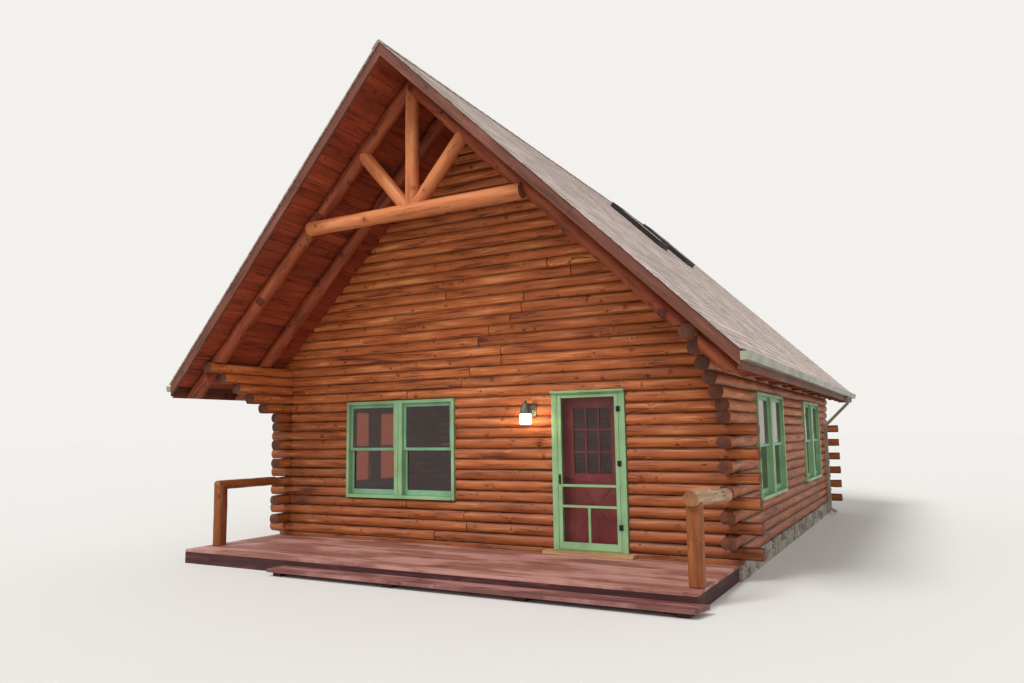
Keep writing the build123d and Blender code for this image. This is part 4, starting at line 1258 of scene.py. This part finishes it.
def own_place(tree):
    """A piece's own coordinates, and the number for its tone."""
    place = node(tree, "Attribute", attribute_name="local").outputs["Vector"]
    return place, node(tree, "Attribute", attribute_name="tint").outputs["Fac"]


def toned(middle, pale, rise, dark, fall):
    """Pale, middle and dark tone of a wood, the first and last part of the way to other colours."""
    return blend(middle, pale, rise), middle, blend(middle, dark, fall)


def wood(name, title, tones, knots=3.4, checks=0.0, girth=0.0, rough=(0.5, 0.7), spread=0.15, bump=0.5,
         turn=None, ink=0.85, wall=None, worn=None, scars=False):
    """Sawn or peeled pine. Fibres up to 15 mm wide run along the piece, knots are 20 to 40 mm across, and
    each piece has a tone of its own, which differs by `spread`. `knots` is how many there are to a metre,
    `ink` how dark they are, and `checks` how dark the drying cracks are. `girth` is the radius of a round
    log, and `turn` turns a piece of the frame to its grain. `wall` holds half the height of a course, and
    the heights between which painted light and shade change: the wall is darker below and paler above,
    and painted shade darkens the joints, most low down. `worn` is the colour of patches that feet have
    rubbed, and `scars` darkens the places where branches grew."""
    tree, shader = new_material(name, title)
    pale, middle, dark = tones
    world = node(tree, "TexCoord").outputs["Object"]
    if turn is None:
        place, tint = own_place(tree)
    else:
        place = node(tree, "Mapping", {"Vector": world, "Rotation": turn})
        tint = node(tree, "TexNoise", {"Vector": place, "Scale": 0.3, "Detail": 0.0})
    x, y, z = node(tree, "SeparateXYZ", {0: place}).outputs
    if girth:
        under = node(tree, "Math", {0: z, 1: -1.0}, operation="MULTIPLY")
        angle = node(tree, "Math", {0: y, 1: under}, operation="ARCTAN2")
        around = node(tree, "Math", {0: angle, 1: girth}, operation="MULTIPLY")
    else:
        around = node(tree, "Math", {0: y, 1: z})
    surface = node(tree, "CombineXYZ", {0: x, 1: around, 2: 0.0})
    surface = node(tree, "VectorMath", {0: tint, 1: KNOT_SHIFT, 2: surface}, operation="MULTIPLY_ADD")
    cells = node(tree, "TexVoronoi", {"Vector": surface, "Scale": knots}, voronoi_dimensions="2D")
    chance = node(tree, "SeparateXYZ", {0: cells.outputs["Color"]})
    size = node(tree, "MapRange", {"Value": chance, "To Min": 0.5, "To Max": 1.4})
    near = node(tree, "Math", {0: cells, 1: size}, operation="DIVIDE")
    kept = node(tree, "Math", {0: chance.outputs[1], 1: 0.3}, operation="GREATER_THAN")
    halo = node(tree, "ValToRGB", {"Fac": near}, stops=[(0.03, 1.0), (0.2, 0.0)])
    knot = node(tree, "ValToRGB", {"Fac": near},
                stops=[(0.0, 0.75 * ink), (0.03, ink), (0.042, 0.5 * ink), (0.06, 0.22 * ink), (0.13, 0.0)])
    knot = node(tree, "Math", {0: knot, 1: kept}, operation="MULTIPLY")
    if scars:
        swell = node(tree, "Attribute", attribute_name="swell").outputs["Fac"]
        scar = node(tree, "ValToRGB", {"Fac": swell},
                    stops=[(0.25, 0.0), (0.45, 0.8), (0.65, 0.8), (0.9, 0.25)])
        knot = node(tree, "Math", {0: knot, 1: scar}, operation="MAXIMUM")
    # Fibres part around a knot.
    seed = node(tree, "VectorMath", {0: tint, 1: GRAIN_SHIFT, 2: place}, operation="MULTIPLY_ADD")
    seed = node(tree, "VectorMath", {0: halo, 1: (0.0, 0.03, 0.03), 2: seed}, operation="MULTIPLY_ADD")
    along = node(tree, "Mapping", {"Vector": seed, "Scale": (1.6, 65.0, 65.0)})
    fibre = node(tree, "TexNoise", {"Vector": along, "Scale": 1.0, "Detail": 4.0})
    drift = node(tree, "Mapping", {"Vector": seed, "Scale": (1.3, 10.0, 10.0)})
    cloud = node(tree, "TexNoise", {"Vector": drift, "Scale": 1.0, "Detail": 4.0})
    figure = node(tree, "Mix", {0: 0.36, 2: cloud, 3: fibre})
    colour = node(tree, "ValToRGB", {"Fac": figure},
                  stops=[(0.36, dark), (0.47, middle), (0.53, middle), (0.66, pale)])
    value = node(tree, "MapRange", {"Value": tint, "To Min": 1 - spread, "To Max": 1 + spread})
    # Painted light and shade by height: the walls are darker low down and paler higher up.
    if wall:
        joint, foot, top = wall
        level = node(tree, "SeparateXYZ", {0: world}).outputs[2]
        shade_gradient = node(tree, "MapRange", {"Value": level, "From Min": foot, "From Max": top,
                                      "To Min": 0.72, "To Max": 1.34})
        value = node(tree, "Math", {0: value, 1: shade_gradient}, operation="MULTIPLY")
    colour = node(tree, "HueSaturation", {"Color": colour, "Value": value})
    if worn:
        paths = node(tree, "Mapping", {"Vector": world, "Scale": (0.7, 3.0, 1.0)})
        tread = node(tree, "TexNoise", {"Vector": paths, "Scale": 1.0, "Detail": 5.0, "Roughness": 0.6})
        rubbed = node(tree, "ValToRGB", {"Fac": tread}, stops=[(0.46, 0.0), (0.58, 0.75)])
        colour = node(tree, "Mix", {0: rubbed, 6: colour, 7: linear(worn)}, data_type="RGBA").outputs[2]
    black = linear(blend(dark, "#3a1206", 0.6))
    colour = node(tree, "Mix", {0: knot, 6: colour, 7: black}, data_type="RGBA").outputs[2]
    height = node(tree, "Math", {0: fibre, 1: knot})
    if checks:
        crack = node(tree, "Mapping", {"Vector": seed, "Scale": (0.5, 11.0, 11.0)})
        line = node(tree, "TexNoise", {"Vector": crack, "Scale": 1.0, "Detail": 2.0})
        thin = node(tree, "ValToRGB", {"Fac": line},
                    stops=[(0.488, 0.0), (0.498, 1.0), (0.502, 1.0), (0.512, 0.0)])
        some = node(tree, "TexNoise", {"Vector": seed, "Scale": 1.7, "Detail": 0.0})
        where = node(tree, "ValToRGB", {"Fac": some}, stops=[(0.52, 0.0), (0.6, checks)])
        thin = node(tree, "Math", {0: thin, 1: where}, operation="MULTIPLY")
        black = linear(blend(dark, "#120a05", 0.7))
        colour = node(tree, "Mix", {0: thin, 6: colour, 7: black}, data_type="RGBA").outputs[2]
        height = node(tree, "Math", {0: height, 1: thin}, operation="SUBTRACT")
    # Painted shade in the joints between courses, deepest low on the wall.
    if wall:
        away = node(tree, "Math", {0: z}, operation="ABSOLUTE")
        away = node(tree, "Math", {0: cloud, 1: 0.07, 2: away}, operation="MULTIPLY_ADD")
        edge = node(tree, "MapRange", {"Value": away, "From Min": joint + 0.012, "From Max": joint + 0.034},
                    interpolation_type="SMOOTHSTEP")
        deep = node(tree, "MapRange", {"Value": shade_gradient, "From Min": 0.9, "From Max": 1.34,
                                       "To Min": 0.88, "To Max": 0.5})
        edge = node(tree, "Math", {0: edge, 1: deep}, operation="MULTIPLY")
        black = linear(blend(dark, "#1a0a04", 0.5))
        colour = node(tree, "Mix", {0: edge, 6: colour, 7: black}, data_type="RGBA").outputs[2]
    fed(shader, {
        "Base Color": colour,
        "Roughness": node(tree, "MapRange", {"Value": fibre, "To Min": rough[1], "To Max": rough[0]}),
        "Specular IOR Level": 0.3,
        "Normal": node(tree, "Bump", {"Height": height, "Distance": 0.0015, "Strength": bump}),
    })


def end_grain(name, title, tones):
    """Sawn end of a log: growth rings, drawn 11 mm apart to show, with drying cracks from the heart."""
    tree, shader = new_material(name, title)
    pale, middle, dark = tones
    place, tint = own_place(tree)
    flat = node(tree, "Mapping", {"Vector": place, "Scale": (0.0, 1.0, 1.0)})
    ring = node(tree, "TexWave", {"Vector": flat, "Scale": RINGS / math.pi, "Distortion": 1.6,
                                  "Detail": 2.0, "Detail Scale": 1.2},
                wave_type="RINGS", rings_direction="X", wave_profile="SAW").outputs["Fac"]
    colour = node(tree, "ValToRGB", {"Fac": ring}, stops=[(0.0, pale), (0.6, middle), (1.0, dark)])
    seed = node(tree, "VectorMath", {0: tint, 1: RING_SHIFT, 2: flat}, operation="MULTIPLY_ADD")
    stain = node(tree, "TexNoise", {"Vector": seed, "Scale": 9.0, "Detail": 3.0})
    worn = node(tree, "ValToRGB", {"Fac": stain}, stops=[(0.42, 0.0), (0.66, 0.75)])
    colour = node(tree, "Mix", {0: worn, 6: colour, 7: linear(dark)}, data_type="RGBA").outputs[2]
    _, y, z = node(tree, "SeparateXYZ", {0: flat}).outputs
    turn = node(tree, "Math", {0: y, 1: z}, operation="ARCTAN2")
    spoke = node(tree, "Math", {0: tint, 1: 40.0, 2: turn}, operation="MULTIPLY_ADD")
    crack = node(tree, "TexNoise", {"W": spoke, "Scale": 2.2, "Detail": 0.0}, noise_dimensions="1D")
    thin = node(tree, "ValToRGB", {"Fac": crack}, stops=[(0.49, 0.0), (0.5, 0.9), (0.51, 0.0)])
    black = linear(blend(dark, "#160c06", 0.7))
    fed(shader, {
        "Base Color": node(tree, "Mix", {0: thin, 6: colour, 7: black}, data_type="RGBA").outputs[2],
        "Roughness": 0.78,
        "Normal": node(tree, "Bump", {"Height": ring, "Distance": 0.001, "Strength": 0.4}),
    })


def painted(name, title, colour, rough, wear):
    """Brush-painted board: slight brush streaks, soft dirt and faded patches."""
    tree, shader = new_material(name, title)
    place = node(tree, "TexCoord").outputs["Object"]
    patch = node(tree, "TexNoise", {"Vector": place, "Scale": 2.6, "Detail": 4.0})
    fine = node(tree, "TexNoise", {"Vector": place, "Scale": 120.0, "Detail": 3.0})
    dirty, faded = blend(colour, "#2a2015", wear), blend(colour, "#f4efe2", wear * 0.7)
    tone = node(tree, "ValToRGB", {"Fac": patch}, stops=[(0.3, dirty), (0.5, colour), (0.72, faded)])
    speck = node(tree, "MapRange", {"Value": fine, "To Min": 0.92, "To Max": 1.08})
    gloss = node(tree, "MapRange", {"Value": patch, "To Min": rough + 0.12, "To Max": rough - 0.08})
    fed(shader, {
        "Base Color": node(tree, "HueSaturation", {"Color": tone, "Value": speck}),
        "Roughness": gloss,
        "Normal": node(tree, "Bump", {"Height": fine, "Distance": 0.0004, "Strength": 0.5}),
    })


def woods(hue, sizes):
    # Oiled pine: warm orange-brown, with dark knots and the joints between courses in shadow.
    oiled = (hue.log_pale, hue.log, hue.log_dark)
    # The walls carry painted shade low down and painted light higher up.
    wood("log", "Oiled pine log", oiled, checks=0.9, girth=sizes.log_radius, rough=(0.45, 0.68),
         spread=0.14, wall=(sizes.course / 2, sizes.wall_base, SHADE_GRADIENT_TOP))
    end_grain("log_end", "Sawn pine log end", (
        blend(hue.log, "#6a4030", 0.6), blend(hue.log_dark, "#633420", 0.6),
        blend(hue.log_dark, "#1f100a", 0.5)))
    # Rafters and ceiling: the same oil, two coats darker.
    wood("rafter", "Oiled pine rafter", toned(hue.rafter, hue.log_pale, 0.35, "#2a120a", 0.55),
         knots=2.8, checks=0.8, girth=sizes.rafter_radius, spread=0.1, scars=True)
    end_grain("rafter_end", "Sawn rafter end", toned(hue.rafter, hue.log_pale, 0.3, "#2a120a", 0.5))
    wood("soffit", "Oiled pine ceiling board", toned(hue.soffit, "#b0603a", 0.5, "#2a0f09", 0.62),
         knots=4.4, spread=0.2)
    # Peeled logs of the truss: one clear coat, honey brown.
    wood("peeled", "Peeled pine log", toned(hue.peeled, "#e9b98a", 0.4, "#6a3418", 0.5),
         knots=2.6, checks=0.7, girth=0.1, spread=0.08)
    wood("post", "Oiled pine post", toned(hue.post, "#c9905e", 0.35, "#3f1d0f", 0.5),
         knots=2.6, checks=0.9, spread=0.08)
    end_grain("peeled_end", "Sawn peeled log end", (
        blend(hue.weathered, "#9f6a2a", 0.75), blend(hue.weathered, "#77471c", 0.75),
        blend(hue.peeled, "#42200f", 0.7)))
    # The rail by the door has greyed where hands and rain wore the oil off.
    wood("weathered", "Weathered pine log", toned(hue.weathered, "#d3c0a8", 0.5, "#5b4531", 0.55),
         knots=3.0, checks=1.0, girth=0.084, rough=(0.7, 0.9), bump=0.8)
    # Solid stain on the porch: worn paler on top of the boards. The frame under them is coloured darker as
    # painted shade.
    wood("deck", "Stained porch board", toned(hue.deck, "#b98a7e", 0.4, "#4a2520", 0.5),
         knots=2.4, checks=0.4, rough=(0.5, 0.75), spread=0.14, ink=0.35, worn="#bf8f85")
    wood("step", "Stained tread", toned(hue.step, "#a8786f", 0.4, "#34181a", 0.5),
         knots=2.4, checks=0.4, rough=(0.5, 0.75), spread=0.14, ink=0.35, worn="#ad7c76")
    wood("rim", "Stained porch timber in painted shade", toned(hue.rim, "#8a5a54", 0.4, "#1f0f0e", 0.5),
         knots=2.4, rough=(0.6, 0.85))
    wood("board", "Bare pine board", toned(hue.board, "#d3b48c", 0.5, "#5c422a", 0.5), rough=(0.65, 0.85))
    wood("fascia", "Stained fascia board", toned(hue.fascia, "#a0705a", 0.45, "#2e1b10", 0.5),
         knots=2.4, checks=0.5, rough=(0.55, 0.75), spread=0.1)
    wood("floorboard", "Oiled pine floor", oiled, turn=(0, 0, math.pi / 2))


def paints(hue):
    # Oil paint, brushed on, with a low gloss that dirt dulls.
    painted("trim", "Green paint on pine casing", hue.trim, rough=0.45, wear=0.16)
    painted("sash", "Green paint on pine sash", hue.sash, rough=0.42, wear=0.18)
    painted("door", "Burgundy paint on pine", hue.door, rough=0.42, wear=0.2)
    painted("gutter", "Painted aluminium", hue.gutter, rough=0.4, wear=0.25)


def shingles(hue):
    """Mineral shingles: granules of about 1.5 mm, drawn 6 mm to show, on tabs of mixed tones."""
    tree, shader = new_material("shingle", "Mineral shingle")
    place, tint = own_place(tree)
    seed = node(tree, "VectorMath", {0: tint, 1: GRAIN_SHIFT, 2: place}, operation="MULTIPLY_ADD")
    base = node(tree, "ValToRGB", {"Fac": tint}, stops=[
        (0.0, blend(hue.shingle, "#6d5a50", 0.3)), (0.35, blend(hue.shingle, "#a38b80", 0.3)),
        (0.7, hue.shingle), (1.0, blend(hue.shingle, "#e2d6cc", 0.3))])
    grit = node(tree, "TexVoronoi", {"Vector": seed, "Scale": 160.0}, feature="F1").outputs["Color"]
    tone = node(tree, "MapRange", {"Value": grit, "To Min": 0.72, "To Max": 1.2})
    colour = node(tree, "HueSaturation", {"Color": base, "Value": tone})
    world = node(tree, "TexCoord").outputs["Object"]
    runs = node(tree, "Mapping", {"Vector": world, "Scale": (0.5, 1.6, 0.5)})
    stain = node(tree, "TexNoise", {"Vector": runs, "Scale": 1.0, "Detail": 4.0})
    aged = node(tree, "ValToRGB", {"Fac": stain}, stops=[(0.45, 0.0), (0.7, 0.45)])
    lichen = linear(blend(hue.shingle, "#5d5a4a", 0.55))
    fed(shader, {
        "Base Color": node(tree, "Mix", {0: aged, 6: colour, 7: lichen}, data_type="RGBA").outputs[2],
        "Roughness": 0.88,
        "Normal": node(tree, "Bump", {"Height": grit, "Distance": 0.0012, "Strength": 0.7}),
    })


def metals(hue):
    # Forged black iron: slightly uneven, satin.
    tree, shader = new_material("metal", "Black iron")
    place = node(tree, "TexCoord").outputs["Object"]
    dent = node(tree, "TexNoise", {"Vector": place, "Scale": 60.0, "Detail": 3.0})
    tones = [(0.35, blend(hue.metal, "#000000", 0.4)), (0.7, blend(hue.metal, "#5a4a3c", 0.35))]
    fed(shader, {
        "Base Color": node(tree, "ValToRGB", {"Fac": dent}, stops=tones),
        "Metallic": 0.7,
        "Roughness": node(tree, "MapRange", {"Value": dent, "To Min": 0.35, "To Max": 0.6}),
        "Normal": node(tree, "Bump", {"Height": dent, "Distance": 0.0008, "Strength": 0.4}),
    })
    # Lantern: zinc that has dulled to grey-green.
    tree, shader = new_material("zinc", "Aged zinc")
    place = node(tree, "TexCoord").outputs["Object"]
    bloom = node(tree, "TexNoise", {"Vector": place, "Scale": 35.0, "Detail": 5.0})
    tones = [(0.35, blend(hue.lantern, "#1f211c", 0.5)), (0.65, blend(hue.lantern, "#a9ab9c", 0.3))]
    fed(shader, {
        "Base Color": node(tree, "ValToRGB", {"Fac": bloom}, stops=tones),
        "Metallic": 0.6,
        "Roughness": node(tree, "MapRange", {"Value": bloom, "To Min": 0.4, "To Max": 0.7}),
    })


def glass():
    # Window glass: float glass with a warm bronze cast and a thin film of dust.
    tree, shader = new_material("glass", "Window glass")
    place = node(tree, "TexCoord").outputs["Object"]
    dust = node(tree, "TexNoise", {"Vector": place, "Scale": 7.0, "Detail": 5.0})
    fed(shader, {
        "Roughness": node(tree, "MapRange", {"Value": dust, "To Min": 0.02, "To Max": 0.09}),
        "Base Color": linear("#b98370"),
        "Transmission Weight": 1.0,
        "IOR": 1.5,
    })
    # Lantern jar: clear pressed glass that glows with the bulb.
    tree, shader = new_material("jar", "Lit jar glass")
    place = node(tree, "TexCoord").outputs["Object"]
    ripple = node(tree, "TexNoise", {"Vector": place, "Scale": 30.0, "Detail": 2.0})
    fed(shader, {
        "Roughness": node(tree, "MapRange", {"Value": ripple, "To Min": 0.05, "To Max": 0.2}),
        "Base Color": linear("#fff3da"),
        "Transmission Weight": 0.7,
        "Emission Color": linear("#ffe6c8"),
        "Emission Strength": 13.0,
        "IOR": 1.5,
    })


def screen_wire():
    # Insect screen: 1.4 mm wire mesh, drawn 7 mm so that it shows.
    tree, shader = new_material("screen", "Insect screen wire")
    place = node(tree, "TexCoord").outputs["Object"]
    x, _, z = node(tree, "SeparateXYZ", {0: place}).outputs
    wires = []
    for across in (x, z):
        turn = node(tree, "Math", {0: across, 1: 0.007}, operation="PINGPONG")
        wires.append(node(tree, "Math", {0: turn, 1: 0.0016}, operation="LESS_THAN"))
    wire = node(tree, "Math", {0: wires[0], 1: wires[1]}, operation="MAXIMUM")
    tone = node(tree, "TexNoise", {"Vector": place, "Scale": 3.0, "Detail": 3.0})
    fed(shader, {
        "Alpha": node(tree, "MapRange", {"Value": wire, "To Min": 0.0, "To Max": 0.34}),
        "Base Color": node(tree, "ValToRGB", {"Fac": tone}, stops=[(0.3, "#2a201e"), (0.7, "#453733")]),
        "Roughness": 0.5,
    })


def stone(hue):
    # Field stone laid in mortar: stones of 150 to 350 mm, coloured darker as painted shade under the wall.
    tree, shader = new_material("stone", "Field stone in mortar")
    place = node(tree, "TexCoord").outputs["Object"]
    bend = node(tree, "TexNoise", {"Vector": place, "Scale": 5.0, "Detail": 2.0}).outputs["Color"]
    shaken = node(tree, "VectorMath", {0: bend, 1: (0.08, 0.08, 0.08), 2: place}, operation="MULTIPLY_ADD")
    sized = node(tree, "Mapping", {"Vector": shaken, "Scale": (3.6, 3.6, 7.0)})
    cells = node(tree, "TexVoronoi", {"Vector": sized, "Scale": 1.0}, feature="F1")
    edge = node(tree, "TexVoronoi", {"Vector": sized, "Scale": 1.0}, feature="DISTANCE_TO_EDGE")
    chance = node(tree, "SeparateXYZ", {0: cells.outputs["Color"]})
    tone = node(tree, "ValToRGB", {"Fac": chance}, stops=[
        (0.0, blend(hue.stone, "#5e5148", 0.6)), (0.4, hue.stone),
        (0.7, blend(hue.stone, "#a08a72", 0.6)), (1.0, blend(hue.stone, "#c9c4ba", 0.6))])
    fine = node(tree, "TexNoise", {"Vector": place, "Scale": 40.0, "Detail": 6.0})
    speck = node(tree, "MapRange", {"Value": fine, "To Min": 0.75, "To Max": 1.2})
    tone = node(tree, "HueSaturation", {"Color": tone, "Value": speck})
    gap = node(tree, "ValToRGB", {"Fac": edge}, stops=[(0.04, 1.0), (0.08, 0.0)])
    crown = node(tree, "ValToRGB", {"Fac": edge}, stops=[(0.03, 0.0), (0.16, 1.0)])
    rise = node(tree, "Math", {0: fine, 1: 0.3, 2: crown}, operation="MULTIPLY_ADD")
    mortar = linear("#9a948a")
    fed(shader, {
        "Base Color": node(tree, "Mix", {0: gap, 6: tone, 7: mortar}, data_type="RGBA").outputs[2],
        "Roughness": 0.85,
        "Normal": node(tree, "Bump", {"Height": rise, "Distance": 0.02, "Strength": 0.8}),
    })


class CABIN_OT_materials(bpy.types.Operator):
    """Make the woods, paints, metals, glass and stone"""
    bl_idname = "cabin.materials"
    bl_label = "Materials"

    def execute(self, context):
        hue = context.scene.cabin_colours
        woods(hue, context.scene.cabin_sizes)
        paints(hue)
        shingles(hue)
        metals(hue)
        glass()
        screen_wire()
        stone(hue)
        return {"FINISHED"}


# Pieces of the frame that keep their shapes, and what each is made of.
FRAME_FINISHES = {
    "foundation": "stone", "floor": "floorboard", "floor_joists": "floorboard",
    "left_gutter": "gutter", "right_gutter": "gutter",
    "skylight_frames": "metal", "skylight_glass": "glass",
    "front_window_glass": "glass", "right_window_glass": "glass",
    "left_window_glass": "glass", "back_window_glass": "glass",
    "door_hinges": "metal", "screen_mesh": "screen", "screen_hardware": "metal",
    "entry_door_glass": "glass", "entry_hardware": "metal",
}


class CABIN_OT_frame_finishes(bpy.types.Operator):
    """Give the parts of the frame that stay their materials"""
    bl_idname = "cabin.frame_finishes"
    bl_label = "Finishes of the frame"

    def execute(self, context):
        for name, finish in FRAME_FINISHES.items():
            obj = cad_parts[name]
            obj.data.materials.clear()
            obj.data.materials.append(MATERIALS[finish])
        return {"FINISHED"}


# Lamps: strength, angle of the sun's disc and turn, in degrees.
LAMPS = {"key": (2.4, 24, (42, 0, -24)), "fill": (0.8, 60, (70, 0, 46))}
# The camera that was fitted to the photograph: place, turn in radians, and lens in millimetres.
CAMERA = {"place": (6.031, -13.719, 1.832), "yaw": 0.4982, "pitch": 0.1195, "roll": -0.0137, "lens": 27.085}


class CABIN_OT_stage(bpy.types.Operator):
    """Add the floor, the lamps, the pale background and the camera"""
    bl_idname = "cabin.stage"
    bl_label = "Stage"

    def execute(self, context):
        scene = context.scene
        hue = scene.cabin_colours
        deselect()
        bpy.ops.mesh.primitive_plane_add(size=400, location=(0, 0, 0))
        floor = applied(context.object)
        floor.name = "studio_floor"
        made = bpy.data.materials.new("Studio floor")
        made.use_nodes = True
        shader = made.node_tree.nodes["Principled BSDF"]
        fed(shader, {"Base Color": linear(hue.floor), "Roughness": 0.9})
        floor.data.materials.append(made)
        world = bpy.data.worlds.new("Studio")
        scene.world = world
        world.use_nodes = True
        tree = world.node_tree
        tree.nodes.clear()
        ray = node(tree, "LightPath")
        # The background is pale where it is seen, and gives less light than it shows.
        seen = node(tree, "Math", {0: ray, 1: ray.outputs["Is Glossy Ray"]}, operation="MAXIMUM")
        seen = node(tree, "Math", {0: seen, 1: ray.outputs["Is Transmission Ray"]}, operation="MAXIMUM")
        strength = node(tree, "MapRange", {"Value": seen, "To Min": 0.55, "To Max": 1.0})
        tone = node(tree, "Mix", {0: seen, 6: linear("#ffffff"), 7: linear("#f3f1ed")},
                    data_type="RGBA").outputs[2]
        back = node(tree, "Background", {"Color": tone, "Strength": strength})
        node(tree, "OutputWorld", {"Surface": back})
        for name, (energy, spread, turn) in LAMPS.items():
            lamp = bpy.data.lights.new(name, "SUN")
            lamp.energy = energy
            lamp.angle = math.radians(spread)
            obj = bpy.data.objects.new(name, lamp)
            obj.rotation_euler = [math.radians(a) for a in turn]
            obj.location = (0, -12, 12)
            scene.collection.objects.link(obj)
        camera = bpy.data.cameras.new("camera")
        camera.sensor_width = 36.0
        camera.lens = CAMERA["lens"]
        obj = bpy.data.objects.new("camera", camera)
        yaw, pitch, roll = CAMERA["yaw"], CAMERA["pitch"], CAMERA["roll"]
        ahead = Vector((-math.sin(yaw) * math.cos(pitch), math.cos(yaw) * math.cos(pitch), math.sin(pitch)))
        right = Vector((math.cos(yaw), math.sin(yaw), 0))
        up = right.cross(ahead)
        across = right * math.cos(roll) + up * math.sin(roll)
        up = up * math.cos(roll) - right * math.sin(roll)
        turn = Matrix((across, up, -ahead)).transposed().to_4x4()
        obj.matrix_world = Matrix.Translation(CAMERA["place"]) @ turn
        camera.clip_end = 500
        scene.collection.objects.link(obj)
        scene.camera = obj
        scene.view_settings.view_transform = "Standard"
        return {"FINISHED"}


class CABIN_PT_panel(bpy.types.Panel):
    """Steps of the cabin, in order"""
    bl_idname = "CABIN_PT_panel"
    bl_label = "Cabin"
    bl_space_type = "VIEW_3D"
    bl_region_type = "UI"
    bl_category = "Cabin"

    def draw(self, context):
        for step in STEPS:
            self.layout.operator(step.bl_idname)


STEPS = (CABIN_OT_materials, CABIN_OT_frame_finishes, CABIN_OT_walls, CABIN_OT_roof_boards,
         CABIN_OT_shingles, CABIN_OT_fascia, CABIN_OT_rafters, CABIN_OT_windows, CABIN_OT_doorway,
         CABIN_OT_doors, CABIN_OT_lantern, CABIN_OT_porch, CABIN_OT_stage)
CLASSES = (CabinSizes, CabinColours, *STEPS, CABIN_PT_panel)


def register():
    for made in CLASSES:
        bpy.utils.register_class(made)
    bpy.types.Scene.cabin_sizes = bpy.props.PointerProperty(type=CabinSizes)
    bpy.types.Scene.cabin_colours = bpy.props.PointerProperty(type=CabinColours)


def unregister():
    del bpy.types.Scene.cabin_colours
    del bpy.types.Scene.cabin_sizes
    for made in reversed(CLASSES):
        bpy.utils.unregister_class(made)


def clear_library():
    """Removes the stock pieces once all copies are made."""
    for stock in LIBRARY.values():
        mesh = stock.data
        bpy.data.objects.remove(stock)
        bpy.data.meshes.remove(mesh)
    LIBRARY.clear()


def main():
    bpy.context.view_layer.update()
    register()
    for step in STEPS:
        group, name = step.bl_idname.split(".")
        getattr(getattr(bpy.ops, group), name)()
    clear_library()


if __name__ == "__main__":
    main()
